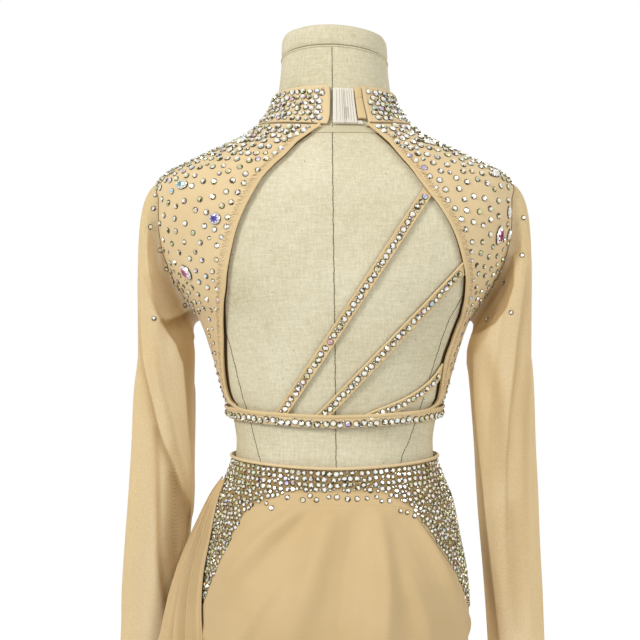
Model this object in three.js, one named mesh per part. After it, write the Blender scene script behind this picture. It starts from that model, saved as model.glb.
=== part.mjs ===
// Lyrical dance costume on a limbless dress form with a round stand.
// Millimetres, +Z up, the underside of the stand's base at z = 0, the costume's back facing -Y.
// "turn" is the angle in degrees round the body from the centre back, growing towards +X
// (the wearer's right), so 90 is the right side, 180 the centre front and -90 the left side.
// "lift" is the distance out from the form's surface.
import * as THREE from "three";

// Driving dimensions
const CLOTH_LIFT = 2.0; // cloth that lies on the form
const CLOTH_WALL = 1.3;
const TRIM_LIFT = CLOTH_LIFT + CLOTH_WALL + 0.8; // what is sewn on top of the cloth
const SEAM = 0.35; // half of a seam's gap, turned into degrees where it runs up the side
const SEAM_TURN = 0.15;

const COLLAR_HEIGHT = 36;
const COLLAR_WALL = 1.9;
const COLLAR_ENDS = { right: 26.2, left: 355.2 };
const CLASP = { bottom: 1392, top: 1432, left: -2.2, middle: 7.4, right: 16.8, wall: 2.6, rib: 0.9 };
const TAB = { bottom: 1398, top: 1434, left: 18.4, right: 25.2 };

const STRAP_WIDTH = 11.5;
const STRAP_WALL = 1.4;
const BINDING_WIDTH = 3.4;
const BINDING_WALL = 1.5;
const BAND_WIDTH = 13;
const PIPING_WIDTH = 4;
const PIPING_WALL = 2.2;

const FORM_BOTTOM = 812;
const FORM_SEGMENTS = 44;
const HEM_HEIGHT = 285;
const HANG_HEIGHT = 850; // below this the skirt hangs free of the hips
const SKIRT_FLARE = 0.13;
const SLIT_TURN = 4;
const POLE_RADIUS = 14;
const BASE_RADIUS = 172;
const BASE_EDGE = 12;
const BASE_BOSS = 24;

function table(columns, rows) {
  const names = columns.split(" ");
  return rows.map((row) => Object.fromEntries(names.map((name, i) => [name, row[i]])));
}

// The body's level sections: half width, depth to the back and to the front of the section's
// own centre, how far that centre leans forward, and how square the oval is (2 is an ellipse).
const BODY = table("height side back front lean square", [
  [810, 139, 114, 96, 0, 2.2],
  [840, 142, 118, 99, 0, 2.2],
  [877, 143, 121, 101, 0, 2.2],
  [910, 141, 119, 101, 0, 2.2],
  [955, 133, 108, 98, 0, 2.15],
  [994, 125, 94, 94, 0, 2.1],
  [1020, 115, 84, 90, 0, 2.1],
  [1040, 108.5, 79, 87, 0, 2.1],
  [1057, 107.5, 79, 87, 0, 2.1],
  [1083, 111, 82, 92, 0, 2.1],
  [1110, 119, 87, 100, 0, 2.15],
  [1152, 131, 94, 111, 0, 2.2],
  [1190, 144, 99, 120, 0, 2.35],
  [1215, 160, 102, 122, 0, 2.5],
  [1240, 175, 104, 119, 0, 2.6],
  [1270, 186, 104, 111, 0, 2.7],
  [1300, 192, 102, 102, 0, 2.8],
  [1325, 193, 98, 95, 0, 2.8],
  [1335, 190, 96, 92, 0, 2.8],
  [1345, 181, 93, 89, 0, 2.75],
  [1354, 164, 90, 86, 0, 2.6],
  [1367, 138, 86, 82, 0, 2.4],
  [1376, 119, 82, 79, 1, 2.3],
  [1385, 101, 78, 75, 2, 2.2],
  [1397, 86, 72, 70, 3, 2.1],
  [1405, 78, 69, 66, 4, 2.05],
  [1425, 66, 62, 59, 6, 2.0],
  [1443, 61.5, 58, 55, 8, 2.0],
  [1480, 58.5, 55, 53, 12, 2.0],
  [1516, 58.5, 55, 53, 14, 2.0],
]);

// Seam lines of the two back yokes, top to bottom: the edge of the open back, and the outer
// edge that follows the shoulder, the armhole and the side seam.
const LEFT_YOKE = table("edgeHeight edgeTurn sideHeight sideTurn", [
  [1390, -12, 1400.5, -90],
  [1382, -19, 1392, -90],
  [1371, -26.1, 1381, -90],
  [1360, -30.5, 1370, -90],
  [1350, -34.4, 1359, -90],
  [1341, -37.2, 1350, -90],
  [1332, -39.5, 1341, -89],
  [1328, -40.2, 1338.5, -85.5],
  [1324, -40.9, 1335, -82],
  [1320, -41.5, 1330, -79],
  [1307, -43.4, 1316, -75.5],
  [1295, -45, 1302, -75.5],
  [1282, -46.5, 1287, -77],
  [1269, -47.8, 1272, -79],
  [1256, -49.1, 1257, -81],
  [1241, -50.6, 1241, -83.5],
  [1226, -52.3, 1225, -86],
  [1209, -55.5, 1208, -88],
  [1191, -59.4, 1190, -90],
  [1170, -63.2, 1170, -90],
  [1150, -67.3, 1151, -90],
  [1133, -70.3, 1135, -90],
  [1116, -72.3, 1120, -90],
  [1106, -71.5, 1110, -90],
  [1100, -68, 1103, -90],
]);
const RIGHT_YOKE = table("edgeHeight edgeTurn sideHeight sideTurn", [
  [1391.5, 24.6, 1400.5, 90],
  [1384, 29.5, 1392, 90],
  [1374, 33.8, 1381, 90],
  [1365, 36.2, 1370, 90],
  [1356, 38.2, 1359, 90],
  [1343, 40.8, 1350, 90],
  [1332, 42.7, 1341, 89],
  [1329, 43.4, 1338.5, 85.5],
  [1325.5, 44.1, 1335, 82],
  [1322, 44.8, 1330, 79],
  [1311, 47.3, 1316, 75.5],
  [1299, 49.6, 1302, 75.5],
  [1286, 51.9, 1287, 77],
  [1272, 54.1, 1272, 79],
  [1257, 56.2, 1257, 81],
  [1241, 58.5, 1241, 83.5],
  [1225, 60.9, 1225, 86],
  [1208, 64, 1208, 88],
  [1191, 67, 1190, 90],
  [1170, 67, 1170, 90],
  [1152, 66.3, 1151, 90],
  [1135, 66.8, 1135, 90],
  [1117, 68.8, 1120, 90],
  [1107, 69.4, 1110, 90],
  [1100, 67.5, 1103, 90],
]);

// The armhole, top to bottom: how far its back and front edges lie from the side line.
const ARMHOLE = table("height spread", [
  [1341, 1],
  [1338.5, 4.5],
  [1335, 8],
  [1330, 11],
  [1316, 14.5],
  [1302, 14.5],
  [1287, 13],
  [1272, 11],
  [1257, 9],
  [1241, 6.5],
  [1225, 4],
  [1208, 2],
  [1190, 0],
]);

// Level sections of the hanging sleeves: outer and inner edge from the centre plane, the
// section's middle towards the front, and half its depth.
const LEFT_SLEEVE = table("height outer inner middle depth", [
  [1150, 217, 152, 0, 57],
  [1110, 222, 153, 2, 55],
  [1055, 225, 154, 6, 51],
  [1000, 229, 156, 11, 48],
  [945, 234, 159, 17, 45],
  [890, 239, 166, 24, 42],
  [838, 242, 173, 31, 40],
  [790, 245, 177, 37, 38],
  [750, 247, 180, 42, 37],
]);
const RIGHT_SLEEVE = table("height outer inner middle depth", [
  [1150, 217, 144, 0, 57],
  [1110, 220, 148, 2, 55],
  [1055, 223, 153, 6, 51],
  [1000, 227, 157, 11, 48],
  [945, 230, 162, 16, 45],
  [890, 234, 167, 21, 43],
  [838, 237, 171, 26, 41],
  [790, 240, 174, 31, 39],
  [750, 242, 176, 35, 38],
]);
const HEAD_ROWS = 8;
const SLEEVE_COLUMNS = 24;

// Folds of the sleeves: where each ridge starts and ends, its place round the sleeve in
// degrees (0 outer side, 90 back, 180 inner side), its half width and its rise.
const LEFT_SLEEVE_FOLDS = table("top topTurn end endTurn width rise", [
  [1245, 30, 1120, 105, 13, 5],
  [1190, 70, 990, 150, 12, 4.5],
  [1150, 40, 800, 62, 14, 3.5],
  [1110, 110, 800, 96, 13, 3],
  [1190, 300, 820, 285, 15, 4],
  [1170, 240, 800, 235, 15, 4],
]);
const RIGHT_SLEEVE_FOLDS = table("top topTurn end endTurn width rise", [
  [1262, 48, 1165, 140, 12, 6],
  [1240, 22, 1110, 66, 12, 4.5],
  [1150, 112, 800, 130, 14, 3.5],
  [1120, 70, 790, 78, 13, 3],
  [1190, 300, 820, 290, 15, 4],
  [1170, 240, 800, 225, 15, 4],
]);

// Lower edge of the stoned hip yoke round the back. It dips to a point at each side.
const HIP_EDGE = table("turn height", [
  [-90, 872],
  [-80, 877],
  [-74, 886],
  [-69, 900],
  [-65, 918],
  [-61.5, 938],
  [-58.5, 957],
  [-55.8, 974],
  [-52.5, 989],
  [-47, 997],
  [-36, 1000],
  [-16, 1001],
  [0, 1001],
  [14, 1001],
  [27, 1000],
  [38, 998],
  [45, 993],
  [49, 980],
  [53, 966],
  [57.5, 949],
  [63, 928],
  [68.5, 906],
  [78, 883],
  [90, 872],
]);

// Folds of the skirt at the hem: place, how far it has leant over from the hips down, half
// width and rise.
const SKIRT_FOLDS = table("turn lean width rise", [
  [-80, -6, 7, 16],
  [-61, -14, 8, 20],
  [-42, -18, 7, 26],
  [-23, -16, 8, 19],
  [-3, -10, 8, 25],
  [17, 8, 8, 20],
  [36, 14, 7, 26],
  [55, 16, 8, 18],
  [74, 8, 7, 22],
  [104, 4, 8, 20],
  [123, 8, 7, 24],
  [143, 6, 8, 18],
  [162, 4, 8, 25],
  [182, 0, 8, 19],
  [202, -4, 7, 26],
  [221, -6, 8, 18],
  [240, -8, 7, 24],
  [259, -4, 7, 14],
]);

// Plan of the gathered side drape at hip level, back edge to front edge: ridges and valleys
// as turn and lift. It narrows to a gathered point at the top, where its back edge lies close to
// the hip yoke.
const DRAPE_TOP = 1014;
const DRAPE_FULL = 838; // height at which the plan below holds
const DRAPE_HEM = 330;
const DRAPE_GATHER = { turn: -87, spread: 14, lift: 8, edge_lift: 6.2 };
const DRAPE = table("turn lift", [
  [-69, 11],
  [-71, 19],
  [-73, 12],
  [-76, 30],
  [-79, 20],
  [-82, 49],
  [-87, 22],
  [-95, 11],
  [-106, 9],
]);

// Straps across the open back: stations as height and turn, and how far each end is cut aslant
// to lie along the edge that it is sewn under.
const STRAPS = {
  strap_upper: { skew: [1.6, -3.9], stations: [[1319.5, 44.5], [1092, -37.2]] },
  strap_middle: { skew: [3.9, -5.9], stations: [[1243, 57.5], [1090, -10.4]] },
  strap_lower: {
    skew: [6, -8],
    stations: [[1137, 65.6], [1127, 62], [1116, 55.5], [1104, 44], [1095, 31], [1088, 21]],
  },
};

// Large sew-on stones: place, length, width, height and how their length leans from upright.
const STONES = table("name height turn length width rise lean point", [
  ["stone_oval_left", 1329, -65.3, 14.5, 9.5, 4, 90, 0],
  ["stone_round_left", 1293, -53.2, 12, 12, 4.5, 0, 0],
  ["stone_pear_left", 1241, -66.6, 18, 11, 4.5, -35, 0.5],
  ["stone_navette_right", 1279, 69.1, 20, 9.5, 4.5, 0, 0.25],
  ["stone_marquise_right", 1303, 73, 13, 6, 3.5, 0, 0.25],
  ["stone_pear_right", 1281, 75, 12, 7, 3.5, 0, 0.5],
]);

const COLOURS = {
  nude: { color: 0xd8b98a, roughness: 0.75 },
  skirt: { color: 0xd9bd8b, roughness: 0.7 },
  mesh: { color: 0xdec8a0, roughness: 0.8 },
  light: { color: 0xe8ceA4, roughness: 0.65 },
  linen: { color: 0xdad4b4, roughness: 0.95 },
  plastic: { color: 0xd8d4c8, roughness: 0.2 },
  crystal: { color: 0xe6e4ea, roughness: 0.1 },
  steel: { color: 0xb9bbbd, roughness: 0.35, metalness: 0.9 },
  iron: { color: 0x2c2c2e, roughness: 0.55, metalness: 0.6 },
};

const costume = new THREE.Group();
const radians = THREE.MathUtils.degToRad;

function addPiece(name, geometry, colour) {
  const mesh = new THREE.Mesh(geometry, new THREE.MeshStandardMaterial(COLOURS[colour]));
  mesh.name = name;
  costume.add(mesh);
}

// A smooth curve through a table's column that never swings past its rows.
function through(rows, across, up) {
  const x = rows.map((row) => row[across]);
  const y = rows.map((row) => row[up]);
  const rate = x.slice(1).map((at, i) => (y[i + 1] - y[i]) / (at - x[i]));
  const slope = x.map((_, i) => {
    if (i === 0) return rate[0];
    if (i === x.length - 1) return rate[i - 1];
    return rate[i - 1] * rate[i] <= 0 ? 0 : 2 / (1 / rate[i - 1] + 1 / rate[i]);
  });
  return (at) => {
    let i = 0;
    while (i < x.length - 2 && at > x[i + 1]) i += 1;
    const step = x[i + 1] - x[i];
    const t = THREE.MathUtils.clamp((at - x[i]) / step, 0, 1);
    const rise = (2 * t ** 3 - 3 * t ** 2 + 1) * y[i] + (3 * t ** 2 - 2 * t ** 3) * y[i + 1];
    return rise + step * ((t ** 3 - 2 * t ** 2 + t) * slope[i] + (t ** 3 - t ** 2) * slope[i + 1]);
  };
}

const body = Object.fromEntries(
  ["side", "back", "front", "lean", "square"].map((column) => [column, through(BODY, "height", column)]),
);

function onBody(height, turn) {
  const across = Math.sin(radians(turn));
  const along = Math.cos(radians(turn));
  const depth = along > 0 ? body.back(height) : body.front(height);
  const square = body.square(height);
  const reach = Math.abs(across / body.side(height)) ** square + Math.abs(along / depth) ** square;
  const radius = reach ** (-1 / square);
  return new THREE.Vector3(radius * across, body.lean(height) - radius * along, height);
}

function bodyNormal(height, turn) {
  const round = onBody(height, turn + 0.1).sub(onBody(height, turn - 0.1));
  const up = onBody(height + 0.5, turn).sub(onBody(height - 0.5, turn));
  return round.cross(up).normalize();
}

function lifted(height, turn, lift) {
  return onBody(height, turn).addScaledVector(bodyNormal(height, turn), lift);
}

// One closed body between two grids of points, its faces turned out.
function wallBetween(outer, inner, round) {
  const rows = outer.length;
  const columns = outer[0].length;
  const points = [...outer.flat(), ...inner.flat()];
  const index = (side, row, column) => side * rows * columns + row * columns + (column % columns);
  const faces = [];
  const quad = (a, b, c, d) => faces.push([a, b, c], [a, c, d]);
  const spans = round ? columns : columns - 1;
  for (let row = 0; row < rows - 1; row += 1) {
    for (let column = 0; column < spans; column += 1) {
      const corners = [[row, column], [row, column + 1], [row + 1, column + 1], [row + 1, column]];
      quad(...corners.map(([r, c]) => index(0, r, c)));
      quad(...corners.map(([r, c]) => index(1, r, c)).reverse());
    }
    if (!round) {
      const last = columns - 1;
      quad(index(0, row + 1, 0), index(1, row + 1, 0), index(1, row, 0), index(0, row, 0));
      quad(index(0, row, last), index(1, row, last), index(1, row + 1, last), index(0, row + 1, last));
    }
  }
  for (let column = 0; column < spans; column += 1) {
    const next = column + 1;
    const last = rows - 1;
    quad(index(0, 0, next), index(0, 0, column), index(1, 0, column), index(1, 0, next));
    quad(index(0, last, column), index(0, last, next), index(1, last, next), index(1, last, column));
  }
  return closedBody(points, faces);
}

function closedBody(points, faces) {
  const volume = faces.reduce((sum, [a, b, c]) => {
    const side = new THREE.Vector3().crossVectors(points[b], points[c]);
    return sum + points[a].dot(side);
  }, 0);
  const turned = volume < 0 ? faces.map(([a, b, c]) => [a, c, b]) : faces;
  const geometry = new THREE.BufferGeometry();
  geometry.setAttribute("position", new THREE.Float32BufferAttribute(points.flatMap((p) => p.toArray()), 3));
  geometry.setIndex(turned.flat());
  geometry.computeVertexNormals();
  return geometry;
}

// A solid through closed rings, with a flat fan at each end.
function ringedSolid(rings) {
  const count = rings[0].length;
  const points = rings.flat();
  const faces = [];
  for (let ring = 0; ring < rings.length - 1; ring += 1) {
    for (let i = 0; i < count; i += 1) {
      const a = ring * count + i;
      const b = ring * count + ((i + 1) % count);
      faces.push([a, b, b + count], [a, b + count, a + count]);
    }
  }
  for (const [ring, flip] of [[0, true], [rings.length - 1, false]]) {
    const centre = rings[ring].reduce((sum, p) => sum.add(p), new THREE.Vector3()).divideScalar(count);
    points.push(centre);
    for (let i = 0; i < count; i += 1) {
      const a = ring * count + i;
      const b = ring * count + ((i + 1) % count);
      faces.push(flip ? [points.length - 1, b, a] : [points.length - 1, a, b]);
    }
  }
  return closedBody(points, faces);
}

// Cloth that lies on the form: place(row, column) gives height and turn, and thick(row, column)
// the wall there.
function clothOnForm(rows, columns, place, wall = () => CLOTH_WALL, lift = CLOTH_LIFT) {
  const sheet = (out) =>
    Array.from({ length: rows }, (_, row) =>
      Array.from({ length: columns }, (__, column) => {
        const { height, turn } = place(row, column);
        return lifted(height, turn, lift + (out ? wall(row, column) : 0));
      }),
    );
  return wallBetween(sheet(true), sheet(false), false);
}

// Cloth that hangs free: its wall is built inwards from its outer points.
function hangingCloth(outer, round) {
  const rows = outer.length;
  const columns = outer[0].length;
  const at = (row, column) => {
    const wrapped = round ? (column + columns) % columns : THREE.MathUtils.clamp(column, 0, columns - 1);
    return outer[THREE.MathUtils.clamp(row, 0, rows - 1)][wrapped];
  };
  const inner = outer.map((line, row) =>
    line.map((point, column) => {
      const across = at(row, column + 1).clone().sub(at(row, column - 1));
      const down = at(row + 1, column).clone().sub(at(row - 1, column));
      return point.clone().addScaledVector(across.cross(down).normalize(), CLOTH_WALL);
    }),
  );
  return wallBetween(outer, inner, round);
}

// A ribbon along a path on the form. shift moves it sideways, and skew cuts its two ends
// aslant by that much at each edge.
function ribbon(path, { width, wall, lift, round = false, shift = 0, skew = [0, 0] }) {
  const count = path.length;
  const points = path.map(({ height, turn }) => lifted(height, turn, lift));
  const corners = points.map((point, i) => {
    const before = points[round ? (i + count - 1) % count : Math.max(i - 1, 0)];
    const after = points[round ? (i + 1) % count : Math.min(i + 1, count - 1)];
    const along = after.clone().sub(before).normalize();
    const out = bodyNormal(path[i].height, path[i].turn);
    const side = out.clone().cross(along).normalize();
    const slant = round ? 0 : THREE.MathUtils.lerp(skew[0], skew[1], i / (count - 1));
    return [-1, 1].map((edge) => {
      const base = point.clone().addScaledVector(side, shift + (edge * width) / 2);
      base.addScaledVector(along, edge * slant);
      return { base, top: base.clone().addScaledVector(out, wall) };
    });
  });
  const grid = (level) => [0, 1].map((edge) => corners.map((pair) => pair[edge][level]));
  return wallBetween(grid("top"), grid("base"), round);
}

// The collar seam runs level at the back and lower at the front.
function collarSeam(turn) {
  const round = Math.abs(((turn + 540) % 360) - 180);
  if (round < 90) return 1390 + (10.5 * round) / 90;
  return 1387 + 13.5 * Math.sin(radians(round)) ** 2;
}

// Dress form: linen body, and the padded cap that closes its neck, parted by a sloping seam.
function neckSeam(turn) {
  return 1476 + 7 * Math.cos(radians(turn)) - 2.3 * Math.sin(radians(turn));
}
const formTurns = Array.from({ length: FORM_SEGMENTS }, (_, i) => (i * 360) / FORM_SEGMENTS);
const BODY_LEVELS = [
  FORM_BOTTOM, 825, 845, 877, 915, 955, 985, 1010, 1032, 1048, 1065, 1085, 1110, 1140, 1170, 1192, 1215, 1240,
  1265, 1295, 1318, 1330, 1338, 1346, 1354, 1363, 1373, 1384, 1396, 1410, 1428, 1448,
];
addPiece(
  "form_torso",
  ringedSolid([
    ...BODY_LEVELS.map((height) => formTurns.map((turn) => onBody(height, turn))),
    formTurns.map((turn) => onBody(neckSeam(turn) - SEAM, turn)),
  ]),
  "linen",
);
const CAP_RINGS = table("rise size", [[0, 1], [12, 1], [20, 0.985], [24, 0.95], [26, 0.88]]);
addPiece(
  "form_neck_cap",
  ringedSolid(
    CAP_RINGS.map(({ rise, size }) =>
      formTurns.map((turn) => {
        const height = neckSeam(turn) + SEAM + rise * (1 - 0.12 * Math.cos(radians(turn)));
        const middle = new THREE.Vector3(0, body.lean(height), height);
        return onBody(height, turn).sub(middle).multiplyScalar(size).add(middle);
      }),
    ),
  ),
  "linen",
);

// Stand: a steel pole in a heavy round base.
const pole = new THREE.CylinderGeometry(POLE_RADIUS, POLE_RADIUS, FORM_BOTTOM - BASE_BOSS - 0.6, 20);
pole.rotateX(Math.PI / 2);
pole.translate(0, 0, (FORM_BOTTOM + BASE_BOSS) / 2);
addPiece("stand_pole", pole, "steel");
const baseProfile = [
  [0, 0],
  [BASE_RADIUS - 3, 0],
  [BASE_RADIUS, 3],
  [BASE_RADIUS, BASE_EDGE - 4],
  [BASE_RADIUS - 4, BASE_EDGE],
  [POLE_RADIUS + 22, BASE_EDGE + 3],
  [POLE_RADIUS + 12, BASE_BOSS],
  [0, BASE_BOSS],
].map(([radius, height]) => new THREE.Vector2(radius, height));
const base = new THREE.LatheGeometry(baseProfile, 40);
base.rotateX(Math.PI / 2);
addPiece("stand_base", base, "iron");

// Back yokes: each lies between the open back and the shoulder, armhole and side seam.
const YOKE_COLUMNS = 10;
function yoke(rows) {
  const inwards = -Math.sign(rows[0].sideTurn) * SEAM_TURN;
  return clothOnForm(rows.length, YOKE_COLUMNS, (row, column) => {
    const { edgeHeight, edgeTurn, sideHeight, sideTurn } = rows[row];
    const u = column / (YOKE_COLUMNS - 1);
    return {
      height: THREE.MathUtils.lerp(edgeHeight, sideHeight, u) - (row === 0 ? SEAM : 0),
      turn: THREE.MathUtils.lerp(edgeTurn, sideTurn + inwards, u),
    };
  });
}
addPiece("yoke_back_left", yoke(LEFT_YOKE), "nude");
addPiece("yoke_back_right", yoke(RIGHT_YOKE), "nude");

// Bodice front: one piece from the shoulders and side seams round the front, cut back from
// the armholes as the yokes are.
const FRONT_COLUMNS = 23;
addPiece(
  "bodice_front",
  clothOnForm(RIGHT_YOKE.length, FRONT_COLUMNS, (row, column) => {
    const { sideHeight, sideTurn } = RIGHT_YOKE[row];
    const reach = sideTurn - SEAM_TURN; // each way from the centre front
    const turn = 180 - reach * Math.sin((Math.PI / 2) * (1 - (2 * column) / (FRONT_COLUMNS - 1)));
    const drop = (sideHeight - 1100) / 300;
    const scoop = 12.5 * drop * Math.cos(radians(turn)) ** 2;
    return { height: row === 0 ? collarSeam(turn) - SEAM : sideHeight - scoop, turn };
  }),
  "nude",
);

// Stand collar, open at the centre back, with rounded ends, and the tab that holds the hook.
const COLLAR_COLUMNS = 37;
const COLLAR_ROWS = 4;
function collarPlace(v, turn) {
  const bottom = collarSeam(turn) + SEAM + 0.3;
  return { height: THREE.MathUtils.lerp(bottom, 1400 + COLLAR_HEIGHT, v), turn };
}
addPiece(
  "collar",
  clothOnForm(
    COLLAR_ROWS,
    COLLAR_COLUMNS,
    (row, column) => {
      const v = row / (COLLAR_ROWS - 1);
      const u = column / (COLLAR_COLUMNS - 1);
      const rounding = 2.2 * (2 * v - 1) ** 4;
      const turn = THREE.MathUtils.lerp(COLLAR_ENDS.right, COLLAR_ENDS.left - rounding, u);
      return collarPlace(v, turn);
    },
    () => COLLAR_WALL,
  ),
  "nude",
);
addPiece(
  "collar_tab",
  clothOnForm(
    3,
    3,
    (row, column) => ({
      height: THREE.MathUtils.lerp(TAB.bottom, TAB.top, row / 2),
      turn: THREE.MathUtils.lerp(TAB.left, TAB.right, column / 2),
    }),
    () => COLLAR_WALL,
  ),
  "light",
);

// Swimwear clasp: two interlocked moulded halves with upright ribs.
const CLASP_COLUMNS = 9;
function claspHalf(left, right) {
  return clothOnForm(
    2,
    CLASP_COLUMNS,
    (row, column) => ({
      height: row === 0 ? CLASP.bottom : CLASP.top,
      turn: THREE.MathUtils.lerp(left, right, column / (CLASP_COLUMNS - 1)),
    }),
    (row, column) => CLASP.wall + (column % 2 ? CLASP.rib : 0),
  );
}
addPiece("clasp_loop", claspHalf(CLASP.left, CLASP.middle - 0.2), "plastic");
addPiece("clasp_hook", claspHalf(CLASP.middle + 0.2, CLASP.right), "plastic");

// Bindings: fold-over elastic along the edges of the open back, from collar to band.
const trim = { width: BINDING_WIDTH, wall: BINDING_WALL, lift: TRIM_LIFT };
function edgePath(rows) {
  return rows.slice(0, -1).map(({ edgeHeight, edgeTurn }) => ({ height: edgeHeight, turn: edgeTurn }));
}
addPiece("binding_left", ribbon(edgePath(LEFT_YOKE), trim), "light");
addPiece("binding_right", ribbon(edgePath(RIGHT_YOKE), trim), "light");

// Straps: straight as seen from behind, their ends under the binding and the band.
function turnAt(height, x) {
  let low = -85;
  let high = 85;
  for (let i = 0; i < 30; i += 1) {
    const middle = (low + high) / 2;
    if (onBody(height, middle).x < x) low = middle;
    else high = middle;
  }
  return (low + high) / 2;
}
function strapPath(stations, steps) {
  const last = stations.length - 1;
  const marks = stations.map(([height, turn]) => ({ height, x: onBody(height, turn).x }));
  return Array.from({ length: steps + 1 }, (_, i) => {
    const at = (i / steps) * last;
    const first = Math.min(Math.floor(at), last - 1);
    const height = THREE.MathUtils.lerp(marks[first].height, marks[first + 1].height, at - first);
    const x = THREE.MathUtils.lerp(marks[first].x, marks[first + 1].x, at - first);
    return { height, turn: turnAt(height, x) };
  });
}
for (const [name, { stations, skew }] of Object.entries(STRAPS)) {
  const path = strapPath(stations, stations.length > 2 ? 10 : 12);
  addPiece(name, ribbon(path, { width: STRAP_WIDTH, wall: STRAP_WALL, lift: CLOTH_LIFT, skew }), "nude");
}

// Under-band: closes the bodice below the bust and runs all round.
const ringTurns = Array.from({ length: 48 }, (_, i) => i * 7.5);
function ring(height, rise) {
  return ringTurns.map((turn) => ({ height: height + rise * Math.sin(radians(turn)) ** 2, turn }));
}
addPiece(
  "under_band",
  ribbon(ring(1086.5, 5.5), { width: BAND_WIDTH, wall: STRAP_WALL, lift: TRIM_LIFT, round: true }),
  "nude",
);

// Waist piping and the hip yoke under it, cut in a back and a front half.
const WAIST = { height: 1036.5, rise: 5.5 };
addPiece(
  "waist_piping",
  ribbon(ring(WAIST.height, WAIST.rise), {
    width: PIPING_WIDTH,
    wall: PIPING_WALL,
    lift: TRIM_LIFT + 0.3,
    round: true,
  }),
  "light",
);
const HIP_ROWS = 5;
const hipTurns = HIP_EDGE.map(({ turn }) => turn);
const hipEdge = through(HIP_EDGE, "turn", "height");
function toSeam(turn) {
  return turn * (1 - SEAM_TURN / 90);
}
function hipYoke(facing) {
  return clothOnForm(HIP_ROWS, hipTurns.length, (row, column) => {
    const turn = toSeam(hipTurns[column]);
    const waist = WAIST.height + WAIST.rise * Math.sin(radians(turn)) ** 2;
    return { height: THREE.MathUtils.lerp(waist, hipEdge(turn), row / (HIP_ROWS - 1)), turn: facing + turn };
  });
}
addPiece("hip_yoke_back", hipYoke(0), "nude");
addPiece("hip_yoke_front", hipYoke(180), "nude");

// Skirt: two panels that lie on the hips and then hang in widening folds. The right side is
// a slit, which opens towards the hem.
const SKIRT_TOP = 1000;
function foldRise(height, turn) {
  const fall = Math.max(0, SKIRT_TOP - 20 - height) / (SKIRT_TOP - HEM_HEIGHT);
  return SKIRT_FOLDS.reduce((sum, fold) => {
    const centre = fold.turn - fold.lean * (1 - fall);
    const away = ((((turn - centre) % 360) + 540) % 360) - 180;
    return sum + fold.rise * fall ** 1.4 * Math.exp(-((away / fold.width) ** 2));
  }, 0);
}
function skirtPoint(height, turn, lift) {
  const rise = lift + foldRise(height, turn);
  if (height >= HANG_HEIGHT) return lifted(height, turn, rise);
  const drop = HANG_HEIGHT - height;
  const point = lifted(HANG_HEIGHT, turn, 0);
  const out = bodyNormal(HANG_HEIGHT, turn).setZ(0).normalize();
  point.addScaledVector(out, rise + (SKIRT_FLARE * drop ** 2) / (drop + 60));
  return point.setZ(height);
}
const SKIRT_ROWS = 13;
const SKIRT_STEP = 6.5; // no two columns are further apart
function skirtPanel(facing) {
  const turns = hipTurns.flatMap((turn, i) => {
    if (i === 0) return [turn];
    const span = turn - hipTurns[i - 1];
    const parts = Math.ceil(span / SKIRT_STEP);
    return Array.from({ length: parts }, (_, part) => hipTurns[i - 1] + (span * (part + 1)) / parts);
  });
  const slitSide = facing === 0 ? 1 : -1;
  const outer = Array.from({ length: SKIRT_ROWS }, (_, row) => {
    const fall = (row / (SKIRT_ROWS - 1)) ** 1.25;
    return turns.map((turn) => {
      const top = hipEdge(turn) - 1.05;
      const height = THREE.MathUtils.lerp(top, HEM_HEIGHT, fall);
      const open = turn * slitSide > 0 ? 1 - (0.7 + SLIT_TURN * fall) / 90 : 1;
      return skirtPoint(height, facing + toSeam(turn) * open, CLOTH_LIFT + CLOTH_WALL);
    });
  });
  return hangingCloth(outer, false);
}
addPiece("skirt_back", skirtPanel(0), "skirt");
addPiece("skirt_front", skirtPanel(180), "skirt");

// Side drape: a cascade gathered to a point at the left hip that opens in deep folds.
const DRAPE_ROWS = 13;
const DRAPE_STEPS = 3; // columns between two rows of its plan
function drapePoint(height, along) {
  const spread = (DRAPE_TOP - height) / (DRAPE_TOP - DRAPE_FULL);
  const opened = Math.min(spread, 1) + 0.05 * Math.max(spread - 1, 0);
  const first = Math.min(Math.floor(along), DRAPE.length - 2);
  const t = along - first;
  const ease = t * t * (3 - 2 * t);
  const turn = THREE.MathUtils.lerp(DRAPE[first].turn, DRAPE[first + 1].turn, t);
  const lift = THREE.MathUtils.lerp(DRAPE[first].lift, DRAPE[first + 1].lift, ease);
  const gathered = DRAPE_GATHER.turn + DRAPE_GATHER.spread * (0.5 - along / (DRAPE.length - 1));
  const held = THREE.MathUtils.lerp(DRAPE_GATHER.edge_lift, DRAPE_GATHER.lift, Math.min(along / 2, 1));
  return skirtPoint(
    height,
    gathered + (turn - gathered) * opened,
    held + Math.max(0, lift - 5) * opened,
  );
}
const drapeColumns = (DRAPE.length - 1) * DRAPE_STEPS + 1;
addPiece(
  "side_drape",
  hangingCloth(
    Array.from({ length: DRAPE_ROWS }, (_, row) => {
      const height = THREE.MathUtils.lerp(DRAPE_TOP, DRAPE_HEM, (row / (DRAPE_ROWS - 1)) ** 1.3);
      return Array.from({ length: drapeColumns }, (__, i) => drapePoint(height, i / DRAPE_STEPS)).reverse();
    }),
    false,
  ),
  "skirt",
);

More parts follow.
